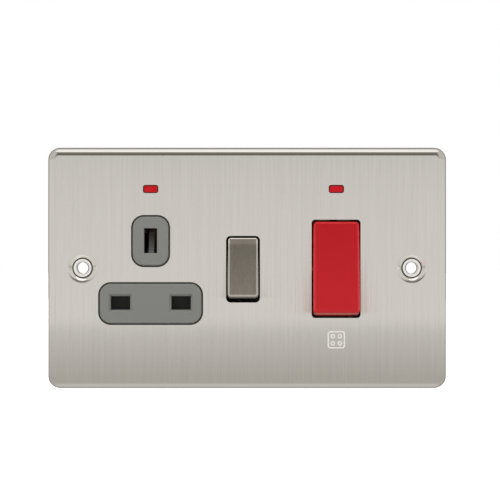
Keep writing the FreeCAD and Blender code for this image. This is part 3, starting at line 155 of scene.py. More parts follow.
# The rocker's red at its foot and at its top: painted shade, darker towards the top
ROCKER_SHADE_TINTS = (1.09, 0.95)
HEIGHT_SHARE, CLOUD_SHARE = 0.8, 0.2
SCUFF_COVER = (0.7, 1.0)
LENS_TINT = 0.92
INK_TINT = 0.95

PLASTIC_IOR = 1.49
GLASS_IOR = 1.5
GLASS_ALPHA = 0.35
SMOKY_GLASS = (0.72, 0.68, 0.64)
CLEAR_GLASS = (0.92, 0.90, 0.88)
FLOOR_PAINTS = ((0.78, 0.78, 0.78), (0.82, 0.82, 0.82))
WHITE = (1.0, 1.0, 1.0)

# Steps round the spring's wire and turns, and round the mark's corners and rings
WIRE_SIDES = 10
TURN_STEPS = 24
CORNER_STEPS = 8
RING_STEPS = 32

# The mark's corners and rings, as shares of half its height
MARK_CORNER = 0.35
RING_PLACE = 0.40
RING_RADIUS = 0.27

# The room's light, as levels at heights over the horizon in degrees
# Past 90 they go down behind the plate, and the second list is finer, for what lies ahead of it
ROOM_PEAK = 1.7
ROUND_LEVELS = (
    (-180, 0.26), (-145, 0.30), (-125, 0.60), (-105, 0.80), (-80, 0.80), (-64, 0.76), (-50, 0.64),
    (-23, 0.60), (-8, 0.58), (20, 0.20), (30, 0.23), (40, 0.28), (50, 0.46), (56, 0.80), (64, 1.50),
    (84, 1.60), (98, 1.05), (112, 0.90), (125, 0.62), (145, 0.30), (180, 0.26),
)
AHEAD_LEVELS = (
    (-8, 0.58), (-4.6, 0.60), (-2.76, 0.815), (-2.56, 0.98), (0, 0.953), (2.1, 0.92), (4.5, 0.80),
    (9, 0.60), (13.4, 0.32), (14.0, 0.31), (14.9, 0.20), (20, 0.20),
)
AHEAD_JOIN = 1
SIDE_LEVEL = 0.74
SIDE_REACH = (0.18, 0.45)
SIDE_HEIGHTS = (2, 8)
FAR_SIDE = (0.35, 0.65)
BACK_AT_SIDE = (0.3, 0.8)
BACK_AT_MIDDLE = (-0.25, 0.25)
WARM_SHADE = (1.0, 0.93, 0.82)
WARM_LEVELS = (0.2, 0.85)

SENSOR_MM = 36.0
LAMPS = (
    ("key_lamp", (0.0, -0.8, 0.6), (1.2, 0.8), "key_power"),
    ("left_lamp", (-0.9, -0.2, 0.1), (0.6, 0.8), "side_power"),
    ("right_lamp", (0.9, -0.2, 0.1), (0.6, 0.8), "side_power"),
    ("back_lamp", (0.0, 0.9, 0.5), (1.2, 0.8), "back_power"),
)


class Wire:
    """An output of a node. Arithmetic on it adds Math nodes to the same tree."""

    def __init__(self, tree, socket):
        self.tree = tree
        self.socket = socket

    def math(self, operation, *values):
        """Add a Math node to this output's tree, with these values."""
        return add_node(self.tree, "ShaderNodeMath", {"operation": operation}, dict(enumerate(values)))

    def __abs__(self):
        return self.math("ABSOLUTE", self)

    def __add__(self, other):
        return self.math("ADD", self, other)

    __radd__ = __add__

    def __sub__(self, other):
        return self.math("SUBTRACT", self, other)

    def __rsub__(self, other):
        return self.math("SUBTRACT", other, self)

    def __mul__(self, other):
        return self.math("MULTIPLY", self, other)

    __rmul__ = __mul__

    def __truediv__(self, other):
        return self.math("DIVIDE", self, other)


def add_node(tree, kind, settings=None, inputs=None, output=0):
    """Add a node, make its settings, then fill its sockets with values or links.

    Returns one of its outputs, or None for a node that has none.
    """
    node = tree.nodes.new(kind)
    for name, value in (settings or {}).items():
        if name == "stops":
            set_stops(node.color_ramp, value)
        else:
            setattr(node, name, value)
    for name, value in (inputs or {}).items():
        if isinstance(value, Wire):
            tree.links.new(value.socket, node.inputs[name])
        else:
            node.inputs[name].default_value = value
    return Wire(tree, node.outputs[output]) if node.outputs else None


def set_stops(ramp, stops):
    """Give a colour ramp its stops, as places and grey levels."""
    while len(ramp.elements) < len(stops):
        ramp.elements.new(1.0)
    for element, (place, level) in zip(ramp.elements, stops):
        element.position = place
        element.color = (level, level, level, 1.0)


def new_finish(name):
    """A material with an empty node tree."""
    material = bpy.data.materials.new(name)
    material.use_nodes = True
    material.node_tree.nodes.clear()
    return material, material.node_tree


def close_finish(tree, inputs):
    """End a finish in a Principled shader."""
    shader = add_node(tree, "ShaderNodeBsdfPrincipled", {}, inputs)
    add_node(tree, "ShaderNodeOutputMaterial", {}, {"Surface": shader})


def split_axes(tree, kind):
    """The three parts of a texture coordinate."""
    place = add_node(tree, "ShaderNodeTexCoord", output=kind)
    split = add_node(tree, "ShaderNodeSeparateXYZ", {}, {"Vector": place}).socket.node
    return [Wire(tree, split.outputs[axis]) for axis in "XYZ"]


def own_place(tree):
    """The three parts of a point's place in the piece's own coordinates."""
    return split_axes(tree, "Object")


def noise(tree, scale, detail=2.0, rough=0.5):
    """Noise between 0 and 1 in the piece's own coordinates, with a scale for each axis in cycles a metre."""
    place = add_node(tree, "ShaderNodeTexCoord", output="Object")
    stretched = add_node(tree, "ShaderNodeMapping", {}, {"Vector": place, "Scale": scale})
    inputs = {"Vector": stretched, "Scale": 1.0, "Detail": detail, "Roughness": rough}
    return add_node(tree, "ShaderNodeTexNoise", {"noise_dimensions": "3D"}, inputs)


def tinted(tree, factor, dark, light):
    """A colour between two colours."""
    ends = [end if isinstance(end, Wire) else rgba(end) for end in (dark, light)]
    return add_node(tree, "ShaderNodeMix", {"data_type": "RGBA"}, {0: factor, 6: ends[0], 7: ends[1]}, 2)


def eased(tree, value, low, high):
    """A smooth step from 0 to 1 as a value goes from low to high."""
    return add_node(tree, "ShaderNodeMapRange", {"interpolation_type": "SMOOTHSTEP"},
                    {"Value": value, "From Min": low, "From Max": high})


def bumped(tree, height, strength, distance):
    """A normal raised by a height."""
    inputs = {"Height": height, "Strength": strength, "Distance": distance}
    return add_node(tree, "ShaderNodeBump", {}, inputs)


def between(share, start, end):
    """A number that goes from start to end as a share goes from 0 to 1."""
    return start + (end - start) * share


def rgba(colour):
    """A colour with full alpha."""
    return (colour[0], colour[1], colour[2], 1.0)


def shaded(colour, share):
    """A colour made darker or lighter by a share."""
    return tuple(part * share for part in colour)


def hole_place(tree):
    """How far a point is beside, above, and away from the middle of the nearer fixing hole."""
    across, _, up = own_place(tree)
    sideways = abs(across) - HOLE_ACROSS
    return abs(sideways), up, up.math("SQRT", sideways * sideways + up * up)


def plate_painted_light(tree, colour, look):
    """The plate's colour, with painted highlights in the fixing holes' dishes, brightest above each hole, and
    a painted shadow line round the sleeves.
    """
    sideways, up, distance = hole_place(tree)
    # Painted highlight over each dish, brightest above the hole, and a painted shadow line next to the sleeve
    brushed = eased(tree, distance, look.dish_radius - DISH_RIM, look.dish_radius)
    clear = eased(tree, distance - FLANGE, *JOINT_SHADOW_LINE)
    above = eased(tree, up, *OVER_HOLE)
    beside = eased(tree, sideways, *BESIDE_HOLE) * (1 - eased(tree, abs(up), *LEVEL_WITH_HOLE))
    dish_painted_light = tinted(tree, above, look.dish_highlight_colour, look.dish_top_highlight)
    dish = tinted(tree, BESIDE_SHARE * beside, dish_painted_light, colour)
    return tinted(tree, clear, look.joint_shadow_colour, tinted(tree, brushed, dish, colour))


def on_face(tree):
    """1 on the plate's flat face, and 0 on its rolled edge and in its dishes."""
    return 1 - eased(tree, own_place(tree)[1] - PLATE_LOW.y, *FACE_DEPTH)


def cap_painted_light(tree, colour, look):
    """The cap's colour, with a painted highlight towards its top and painted shade on its lower lip."""
    up = own_place(tree)[2]
    top_highlight = eased(tree, up - CAP_HIGH.z, *CAP_TOP)
    lip = 1 - eased(tree, up - CAP_LOW.z, *CAP_LIP)
    return tinted(tree, lip, tinted(tree, top_highlight, colour, look.cap_highlight_colour), look.lip_shade_colour)


def brushed_steel(name, look, painted_light=None, scratched=None):
    """Steel brushed up and down: fine streaks in colour and gloss, and scratches that scatter light sideways.

    painted_light(tree, colour, look) gives the steel's colour with painted highlights and shade laid over it,
    and scratched(tree) says where scratches are.
    """
    material, tree = new_finish(name)
    fine = noise(tree, (1 / look.grain_fine, 1 / look.grain_fine, 1 / look.grain_length), 3.0, 0.65)
    broad = noise(tree, (1 / look.grain_broad, 1 / look.grain_broad, 0.5 / look.grain_length))
    short = noise(tree, (1 / look.grain_fine, 1 / look.grain_fine, 1 / look.grain_short))
    streak = STREAK_FINE * fine + STREAK_BROAD * broad + STREAK_SHORT * short
    tints = [shaded(look.colour, share) for share in (1 - look.contrast, 1 + look.contrast)]
    colour = tinted(tree, streak, *tints)
    # Painted highlights and shade laid over the streaks, where a caller gives them
    if painted_light:
        colour = painted_light(tree, colour, look)
    width = look.scratch_width
    scratches = noise(tree, (1 / width, 1 / width, 1 / look.scratch_length), 1.0)
    if scratched:
        scratches = scratches * scratched(tree)
    close_finish(tree, {
        "Base Color": colour,
        "Metallic": 1.0,
        "Roughness": look.roughness + look.roughness_spread * (streak - 0.5),
        "Anisotropic": look.anisotropy,
        "Normal": bumped(tree, scratches, look.relief, SCRATCH_DEPTH * width),
    })
    return material


def turned_nickel(name, look):
    """Nickel plate over turned metal: fine rings round each fixing hole, and painted shade on the outer edge.
    """
    material, tree = new_finish(name)
    distance = hole_place(tree)[2]
    rings = add_node(tree, "ShaderNodeTexNoise", {"noise_dimensions": "1D"},
                     {"W": distance, "Scale": 1 / look.ring, "Detail": 2.0})
    bright = tinted(tree, rings, shaded(look.colour, TURNING_TINT), look.colour)
    close_finish(tree, {
        # The outer edge is darkened as painted shade
        "Base Color": tinted(tree, eased(tree, distance - FLANGE, *SLEEVE_EDGE), bright, look.edge),
        "Metallic": 1.0,
        "Roughness": look.roughness + TURNING_CHANGE * (rings - 0.5),
        "Normal": bumped(tree, rings, look.relief, look.ring),
    })
    return material


def moulded_plastic(name, colour, roughness, mottle, relief):
    """Moulded plastic: a fine spark-eroded grain and faint clouds in colour and gloss."""
    material, tree = new_finish(name)
    cloud = noise(tree, MOULD_CLOUD, 3.0, 0.6)
    grain = noise(tree, SPARK_GRAIN, 1.0)
    close_finish(tree, {
        "Base Color": tinted(tree, cloud, shaded(colour, 1 - mottle), shaded(colour, 1 + mottle)),
        "Roughness": roughness + MOULD_CHANGE * (cloud - 0.5),
        "IOR": PLASTIC_IOR,
        "Normal": bumped(tree, grain, relief, SPARK_DEPTH),
    })
    return material


def red_rocker_painted_light(name, look):
    """Red plastic of the cooker rocker, with painted shade darkening it towards its top and painted
    highlights at its edges and along its lower edge.
    """
    material, tree = new_finish(name)
    across, _, up = own_place(tree)
    vertices = frame["nodes"]["cooker_rocker"].data.vertices
    face = [vertex.co.x for vertex in vertices if vertex.co.y < PLATE_LOW.y]
    middle, half = (max(face) + min(face)) / 2, (max(face) - min(face)) / 2
    # Painted highlights at the face's sides and top, and in a thin band just above its foot
    side = eased(tree, abs(across - middle) - half, *ROCKER_SIDE)
    edge = side.math("MAXIMUM", side, eased(tree, up - ROCKER_HIGH.z, *ROCKER_TOP))
    rise = up - ROCKER_LOW.z
    sill_highlight = eased(tree, rise, *SILL_START) * (1 - eased(tree, rise, *SILL_END))
    cloud = noise(tree, MOULD_CLOUD, 3.0, 0.6)
    grain = noise(tree, SPARK_GRAIN, 1.0)
    # Painted shade: lit and shaded copies of the red, darker towards the top
    height = eased(tree, up, ROCKER_LOW.z, ROCKER_HIGH.z)
    tints = [shaded(look.rocker_red, share) for share in ROCKER_SHADE_TINTS]
    body = tinted(tree, HEIGHT_SHARE * height + CLOUD_SHARE * cloud, *tints)
    close_finish(tree, {
        "Base Color": tinted(tree, sill_highlight, tinted(tree, edge, body, look.rocker_edge_highlight), look.rocker_sill_highlight),
        "Roughness": between(cloud, *ROCKER_GLOSS),
        "IOR": PLASTIC_IOR,
        "Normal": bumped(tree, grain, look.rocker_grain, SPARK_DEPTH),
    })
    return material


def two_tone_plastic(name, look):
    """Dark plastic of the shutter, turning paler and uneven from the height of its ramp upward."""
    material, tree = new_finish(name)
    upper_share = eased(tree, own_place(tree)[2], *RAMP_RISE)
    scuffs = noise(tree, SCUFFS, 3.0, 0.6)
    pale = upper_share * between(scuffs, *SCUFF_COVER)
    close_finish(tree, {
        "Base Color": tinted(tree, pale, look.shutter_grey, look.ramp_grey),
        "Roughness": between(upper_share, *SHUTTER_GLOSS),
        "IOR": PLASTIC_IOR,
        "Normal": bumped(tree, scuffs, look.scuff_relief, SCUFF_DEPTH),
    })
    return material


def rolled_strip(name, colour, tarnish, look):
    """Rolled metal strip: rolling lines, with tarnish in clouds."""
    material, tree = new_finish(name)
    lines = noise(tree, ROLLING_LINES)
    cloud = noise(tree, TARNISH_CLOUD, 4.0, 0.6)
    close_finish(tree, {
        "Base Color": tinted(tree, cloud, tarnish, colour),
        "Metallic": 1.0,
        "Roughness": look.roughness + TARNISH_CHANGE * (cloud - 0.5),
        "Normal": bumped(tree, lines, look.relief, ROLLING_DEPTH),
    })
    return material


def red_lens(name, look):
    """Clear red plastic over a diffusing back, with faint moulding clouds."""
    material, tree = new_finish(name)
    cloud = noise(tree, LENS_CLOUD)
    close_finish(tree, {
        "Base Color": tinted(tree, cloud, shaded(look.lens_red, LENS_TINT), look.lens_red),
        "Roughness": between(cloud, *LENS_GLOSS),
        "Specular IOR Level": look.lens_shine,
    })
    return material


def lamp_glass(name):
    """Glass of the neon lamps, with a faint smoky deposit."""
    material, tree = new_finish(name)
    cloud = noise(tree, SMOKE_CLOUD)
    close_finish(tree, {
        "Base Color": tinted(tree, cloud, SMOKY_GLASS, CLEAR_GLASS),
        "Roughness": between(cloud, *GLASS_GLOSS),
        "Alpha": GLASS_ALPHA,
        "IOR": GLASS_IOR,
    })
    return material


def printed_ink(name, look):
    """Screen-printed ink: pale, matt and slightly uneven."""
    material, tree = new_finish(name)
    cloud = noise(tree, INK_CLOUD, 2.0, 0.6)
    close_finish(tree, {
        "Base Color": tinted(tree, cloud, shaded(look.colour, INK_TINT), look.colour),
        "Roughness": between(cloud, *INK_GLOSS),
        "Normal": bumped(tree, cloud, look.relief, INK_DEPTH),
    })
    return material


def dress(nodes, material):
    """Give CAD nodes a finish."""
    for name in nodes:
        mesh = frame["nodes"][name].data
        mesh.materials.clear()
        mesh.materials.append(material)


def colour_prop(name, description, default):
    """A colour that a user may change."""
    return bpy.props.FloatVectorProperty(
        name=name, description=description, default=default, size=3, min=0.0, max=1.0, subtype="COLOR")


def length_prop(name, description, default):
    """A length that a user may change."""
    return bpy.props.FloatProperty(
        name=name, description=description, default=default, min=0.0, precision=5, unit="LENGTH")


def share_prop(name, description, default):
    """A share from 0 to 1 that a user may change."""
    return bpy.props.FloatProperty(
        name=name, description=description, default=default, min=0.0, max=1.0, subtype="FACTOR")


def power_prop(name, description, default):
    """A lamp's power that a user may change."""
    return bpy.props.FloatProperty(name=name, description=description, default=default, min=0.0, unit="POWER")


class SteelOptions:
    """Options of a brushed steel finish."""
    colour: colour_prop("Colour", "Tint of the steel", (0.62, 0.595, 0.55))
    roughness: share_prop("Roughness", "Mean roughness", 0.08)
    roughness_spread: share_prop("Roughness spread", "Change of roughness between streaks", 0.04)
    anisotropy: share_prop("Anisotropy", "How far the brushing spreads reflections sideways", 1.0)
    contrast: share_prop("Contrast", "Change of tint between streaks", 0.14)
    relief: share_prop("Relief", "Strength of the scratches", 0.08)
    scratch_width: length_prop("Scratch width", "Width of a scratch", 0.00004)
    scratch_length: length_prop("Scratch length", "Length of a scratch", 0.15)
    grain_fine: length_prop("Fine grain", "Width of the finest streaks", 0.00012)
    grain_broad: length_prop("Broad grain", "Width of the broad streaks", 0.0006)
    grain_length: length_prop("Grain length", "Length of a streak", 0.018)
    grain_short: length_prop("Short grain", "Length of a short streak", 0.0012)


class UnitSteelLook(SteelOptions, bpy.types.PropertyGroup):
    """Finish of plain steel pieces."""


class UnitPlateLook(SteelOptions, bpy.types.PropertyGroup):
    """Finish of the plate, scratched deeply enough to soften what it reflects."""
    relief: share_prop("Relief", "Strength of the scratches", 0.8)
    # Painted light on the plate: the two dish colours are painted highlights, and the joint colour is a
    # painted shadow line
    dish_highlight_colour: colour_prop("Dish", "Burnished steel in the fixing dishes", (0.80, 0.77, 0.715))
    dish_top_highlight: colour_prop("Bright dish", "Burnished steel above the holes", (0.99, 0.955, 0.89))
    dish_radius: length_prop("Dish radius", "Reach of the burnished steel", 0.0057)
    joint_shadow_colour: colour_prop("Joint", "Shadow line round the sleeves", (0.05, 0.048, 0.043))


class UnitCapLook(SteelOptions, bpy.types.PropertyGroup):
    """Finish of the socket rocker's cap, with stronger streaks."""
    contrast: share_prop("Contrast", "Change of tint between streaks", 0.45)
    # Painted highlight towards the cap's top, and painted shade on its lower lip
    cap_highlight_colour: colour_prop("Polished", "Steel polished by fingers", (0.87, 0.84, 0.78))
    lip_shade_colour: colour_prop("Lip", "Dull steel on the lower lip", (0.30, 0.288, 0.263))


class UnitNickelLook(bpy.types.PropertyGroup):
    """Finish of the fixing sleeves."""
    colour: colour_prop("Colour", "Tint of the nickel", (0.92, 0.90, 0.87))
    # Edge: painted shade on the sleeves' outer edge
    edge: colour_prop("Edge", "Dull outer edge", (0.16, 0.155, 0.145))
    roughness: share_prop("Roughness", "Mean roughness", 0.16)
    ring: length_prop("Ring", "Width of a turning mark", 0.0001)
    relief: share_prop("Relief", "Strength of the turning marks", 0.02)


class UnitPlasticLook(bpy.types.PropertyGroup):
    """Colours and surfaces of the plastic pieces."""
    socket_grey: colour_prop("Socket grey", "Front moulding", (0.194, 0.199, 0.181))
    housing_white: colour_prop("Housing white", "Rear housing", (0.60, 0.59, 0.56))
    # The shutter is dark on its bars and paler on its ramp
    shutter_grey: colour_prop("Shutter grey", "Bar behind the pin slots", (0.035, 0.035, 0.034))
    ramp_grey: colour_prop("Ramp grey", "Ramp rubbed by the earth pin", (0.30, 0.30, 0.29))
    plunger_cream: colour_prop("Plunger cream", "Switch plungers", (0.62, 0.58, 0.48))
    carrier_black: colour_prop("Carrier black", "Socket rocker under its cap", (0.03, 0.03, 0.029))
    rocker_red: colour_prop("Rocker red", "Cooker switch", (0.448, 0.001, 0.0070))
    # Painted highlights at the cooker switch's edges and along its lower edge
    rocker_edge_highlight: colour_prop("Rocker edge", "Clear edges of the cooker switch", (0.66, 0.013, 0.018))
    rocker_sill_highlight: colour_prop("Rocker sill", "Pale lower edge of the cooker switch", (0.58, 0.16, 0.12))
    lens_red: colour_prop("Lens red", "Indicator lenses", (0.55, 0.006, 0.011))
    lens_shine: share_prop("Lens shine", "Reflection from the lenses", 0.15)
    rocker_grain: share_prop("Rocker grain", "Strength of the cooker switch's grain", 0.04)
    scuff_relief: share_prop("Scuffs", "Strength of the shutter's scuffs", 0.2)


class UnitBrassLook(bpy.types.PropertyGroup):
    """Finish of the brass bars and bronze contacts."""
    colour: colour_prop("Colour", "Bright brass", (0.62, 0.43, 0.19))
    tarnish: colour_prop("Tarnish", "Dull brass", (0.36, 0.22, 0.09))
    # Spring bronze and its tarnish clouds, both darkened as painted shade of the contacts deep in the pin
    # slots
    bronze: colour_prop("Bronze", "Spring bronze", (0.17, 0.10, 0.06))
    bronze_tarnish_and_shade: colour_prop("Bronze tarnish", "Dull bronze", (0.06, 0.035, 0.025))
    roughness: share_prop("Roughness", "Mean roughness", 0.32)
    relief: share_prop("Relief", "Strength of the rolling lines", 0.15)


class UnitSpringLook(bpy.types.PropertyGroup):
    """Winding of the shutter's spring."""
    wire: length_prop("Wire", "Thickness of the wire", 0.0004)
    turns: bpy.props.IntProperty(
        name="Turns", description="Open turns between the two closed ends", default=7, min=1)


class UnitMarkLook(bpy.types.PropertyGroup):
    """Printed hob mark under the cooker switch."""
    colour: colour_prop("Colour", "Ink", (0.80, 0.79, 0.75))
    height: length_prop("Height", "Height of the mark", 0.0064)
    line: length_prop("Line", "Width of its lines", 0.0005)
    drop: length_prop("Drop", "Distance of its middle below the rocker", 0.0085)
    film: length_prop("Film", "Thickness of the ink", 0.00003)
    relief: share_prop("Relief", "Unevenness of the ink", 0.2)


class UnitStageLook(bpy.types.PropertyGroup):
    """Camera and studio."""
    distance: length_prop("Distance", "Camera to the plate's face", 0.595)
    frame_width: length_prop("Frame width", "Width of the picture at the plate's face", 0.1829)
    aim_x: length_prop("Aim across", "Middle of the picture, right of the plate's middle", 0.00106)
    aim_z: length_prop("Aim up", "Middle of the picture, above the plate's middle", 0.00658)
    floor_size: length_prop("Floor size", "Side of the floor", 6.0)
    floor_white: share_prop("Floor white", "White that the camera sees added to the floor's own", 0.72)
    key_power: power_prop("Key power", "Front lamp", 3.0)
    side_power: power_prop("Side power", "Each side lamp", 3.0)
    back_power: power_prop("Back power", "Lamp behind", 6.0)


class UnitPiece(bpy.types.Operator):
    """Shared options of this part's operators."""
    bl_options = {"REGISTER", "UNDO"}


class UNIT_OT_plate(UnitPiece):
    """Finish the front plate in brushed steel and its fixing sleeves in nickel."""
    bl_idname = "unit.finish_plate"
    bl_label = "Front plate and sleeves"

    def execute(self, context):
        # The plate's colour carries painted highlights in its dishes and a painted shadow line round the
        # sleeves
        dress(("front_plate",), brushed_steel("plate_steel", context.scene.unit_plate, plate_painted_light, on_face))
        dress(("fixing_sleeves",), turned_nickel("sleeve_nickel", context.scene.unit_nickel))
        return {"FINISHED"}


class UNIT_OT_mouldings(UnitPiece):
    """Finish the front moulding, rear housing, shutter and plungers in plastic."""
    bl_idname = "unit.finish_mouldings"
    bl_label = "Mouldings"

    def execute(self, context):
        look = context.scene.unit_plastic
        dress(("front_moulding",), moulded_plastic(
            "socket_plastic", look.socket_grey, roughness=0.32, mottle=0.03, relief=0.2))
        dress(("rear_housing",), moulded_plastic(
            "housing_plastic", look.housing_white, roughness=0.5, mottle=0.04, relief=0.4))
        dress(("shutter",), two_tone_plastic("shutter_plastic", look))
        dress(PLUNGER_PIECES, moulded_plastic(
            "plunger_plastic", look.plunger_cream, roughness=0.4, mottle=0.04, relief=0.2))
        return {"FINISHED"}


class UNIT_OT_rockers(UnitPiece):
    """Finish the socket rocker's cap in brushed steel and the rockers in black and red plastic."""
    bl_idname = "unit.finish_rockers"
    bl_label = "Rockers"

    def execute(self, context):
        look = context.scene.unit_plastic
        # The cap's colour carries a painted highlight towards its top and painted shade on its lower lip
        dress(("switch_rocker_cap",), brushed_steel("cap_steel", context.scene.unit_cap, cap_painted_light))
        dress(("switch_rocker",), moulded_plastic(
            "carrier_plastic", look.carrier_black, roughness=0.5, mottle=0.05, relief=0.3))
        # The rocker's red carries painted highlights at its edges and painted shade towards its top
        dress(("cooker_rocker",), red_rocker_painted_light("rocker_plastic", look))
        return {"FINISHED"}


class UNIT_OT_indicators(UnitPiece):
    """Finish the indicator lenses and neon lamps."""
    bl_idname = "unit.finish_indicators"
    bl_label = "Indicators"

    def execute(self, context):
        dress(LENS_PIECES, red_lens("indicator_red", context.scene.unit_plastic))
        dress(LAMP_PIECES, lamp_glass("neon_glass"))
        return {"FINISHED"}


class UNIT_OT_contacts(UnitPiece):
    """Finish the pin contacts in bronze, and the bars and blades in brass."""
    bl_idname = "unit.finish_contacts"
    bl_label = "Contacts"

    def execute(self, context):
        look = context.scene.unit_brass
        # The contacts' bronze is darkened as painted shade of the pin slots
        dress(BRONZE_PIECES, rolled_strip("contact_bronze", look.bronze, look.bronze_tarnish_and_shade, look))
        dress(BRASS_PIECES, rolled_strip("contact_brass", look.colour, look.tarnish, look))
        return {"FINISHED"}


class UNIT_OT_fasteners(UnitPiece):
    """Finish the screws and the switches' springs in plain steel."""
    bl_idname = "unit.finish_fasteners"
    bl_label = "Fasteners and springs"

    def execute(self, context):
        dress(FASTENER_PIECES, brushed_steel("fastener_steel", context.scene.unit_fastener))
        return {"FINISHED"}


class UNIT_OT_spring(UnitPiece):
    """Wind the shutter's spring in round wire, in place of the CAD spring, which it hides."""
    bl_idname = "unit.wind_spring"
    bl_label = "Shutter spring"

    def execute(self, context):
        look = context.scene.unit_spring
        middle = (SPRING_LOW + SPRING_HIGH) / 2
        radius = (SPRING_HIGH.x - SPRING_LOW.x - look.wire) / 2
        rise = SPRING_HIGH.z - SPRING_LOW.z - 3 * look.wire
        start = Vector((middle.x + radius, middle.y, SPRING_LOW.z + look.wire / 2))
        bm = bmesh.new()
        bmesh.ops.create_circle(bm, segments=WIRE_SIDES, radius=look.wire / 2,
                                matrix=Matrix.Translation(start) @ Matrix.Rotation(math.pi / 2, 4, "X"))
        end = bm.verts[:] + bm.edges[:]
        for turns, pitch in ((1, look.wire), (look.turns, rise / look.turns), (1, look.wire)):
            end = bmesh.ops.spin(bm, geom=end, cent=middle, axis=(0, 0, 1), dvec=(0, 0, pitch / TURN_STEPS),
                                 angle=2 * math.pi * turns, steps=TURN_STEPS * turns)["geom_last"]
        bmesh.ops.holes_fill(bm, edges=[edge for edge in bm.edges if edge.is_boundary], sides=WIRE_SIDES)
        bmesh.ops.recalc_face_normals(bm, faces=bm.faces[:])
        coil = new_piece(context.scene, "shutter_coil", bm)
        coil.data.shade_smooth()
        coil.data.materials.append(brushed_steel("spring_wire", context.scene.unit_fastener))
        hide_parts("shutter_spring")
        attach(coil, "unit")
        slide = next(joint for joint in frame["joints"] if joint["name"] == "shutter_slide")
        keep = 1 - slide["range_m"][1] / (SPRING_HIGH.z - SPRING_LOW.z)
        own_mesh(coil)
        return {"FINISHED"}


class UNIT_OT_mark(UnitPiece):
    """Print a hob mark on the plate under the cooker switch."""
    bl_idname = "unit.print_mark"
    bl_label = "Hob mark"

    def execute(self, context):
        look = context.scene.unit_mark
        half = look.height / 2
        bm = bmesh.new()
        bmesh.ops.create_grid(bm, x_segments=1, y_segments=1, size=half)
        bmesh.ops.bevel(bm, geom=bm.verts[:], offset=half * MARK_CORNER, affect="VERTICES",
                        segments=CORNER_STEPS, profile=0.5, material=-1)
        bmesh.ops.inset_region(bm, faces=bm.faces[:], thickness=look.line, use_even_offset=True,
                               use_boundary=True)
        bmesh.ops.delete(bm, geom=[face for face in bm.faces if len(face.verts) > 4], context="FACES")
        for across in (-1, 1):
            for up in (-1, 1):
                place = (across * half * RING_PLACE, up * half * RING_PLACE, 0.0)
                print_ring(bm, place, half * RING_RADIUS, look.line)
        bmesh.ops.recalc_face_normals(bm, faces=bm.faces[:])
        top = bmesh.ops.extrude_face_region(bm, geom=bm.faces[:])
        raised = [item for item in top["geom"] if isinstance(item, bmesh.types.BMVert)]
        bmesh.ops.translate(bm, verts=raised, vec=(0.0, 0.0, look.film))
        bmesh.ops.recalc_face_normals(bm, faces=bm.faces[:])
        stand = Matrix.Rotation(math.pi / 2, 4, "X")
        middle = Vector(((ROCKER_LOW.x + ROCKER_HIGH.x) / 2, PLATE_LOW.y, ROCKER_LOW.z - look.drop))
        bmesh.ops.transform(bm, matrix=Matrix.Translation(middle) @ stand, verts=bm.verts[:])
        mark = new_piece(context.scene, "hob_mark", bm)
        mark.data.materials.append(printed_ink("mark_ink", look))
        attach(mark, "unit")
        return {"FINISHED"}


def print_ring(bm, middle, radius, line):
    """A flat ring of ink about a point."""
    place = Matrix.Translation(middle)
    inner = bmesh.ops.create_circle(bm, segments=RING_STEPS, radius=radius - line, matrix=place)["verts"]
    edges = [edge for edge in bm.edges if edge.verts[0] in inner and edge.verts[1] in inner]
    grown = bmesh.ops.extrude_edge_only(bm, edges=edges)["geom"]
    outer = [item for item in grown if isinstance(item, bmesh.types.BMVert)]
    share = radius / (radius - line)
    bmesh.ops.scale(bm, verts=outer, vec=(share, share, 1.0), space=place.inverted())


def new_piece(scene, name, bm):
    """An object made of a finished bmesh."""
    mesh = bpy.data.meshes.new(name)
    bm.to_mesh(mesh)
    bm.free()
    piece = bpy.data.objects.new(name, mesh)
    scene.collection.objects.link(piece)
    return piece


class UNIT_OT_stage(UnitPiece):
    """Set the camera, the white surround and the soft studio light."""
    bl_idname = "unit.set_stage"
    bl_label = "Stage"

    def execute(self, context):
        look = context.scene.unit_stage
        set_camera(context.scene, look)
        set_surround(context.scene)
        set_floor(context.scene, look)
        for name, place, size, power in LAMPS:
            set_lamp(context.scene, name, place, size, getattr(look, power))
        context.scene.view_settings.view_transform = "Standard"
        return {"FINISHED"}


def set_camera(scene, look):
    """A camera square to the plate."""
    data = bpy.data.cameras.new("front_camera")
    data.sensor_width = SENSOR_MM
    data.lens = SENSOR_MM * look.distance / look.frame_width
    camera = bpy.data.objects.new("front_camera", data)
    camera.location = (look.aim_x, PLATE_LOW.y - look.distance, look.aim_z)
    camera.rotation_euler = (math.pi / 2, 0.0, 0.0)
    scene.collection.objects.link(camera)
    scene.camera = camera


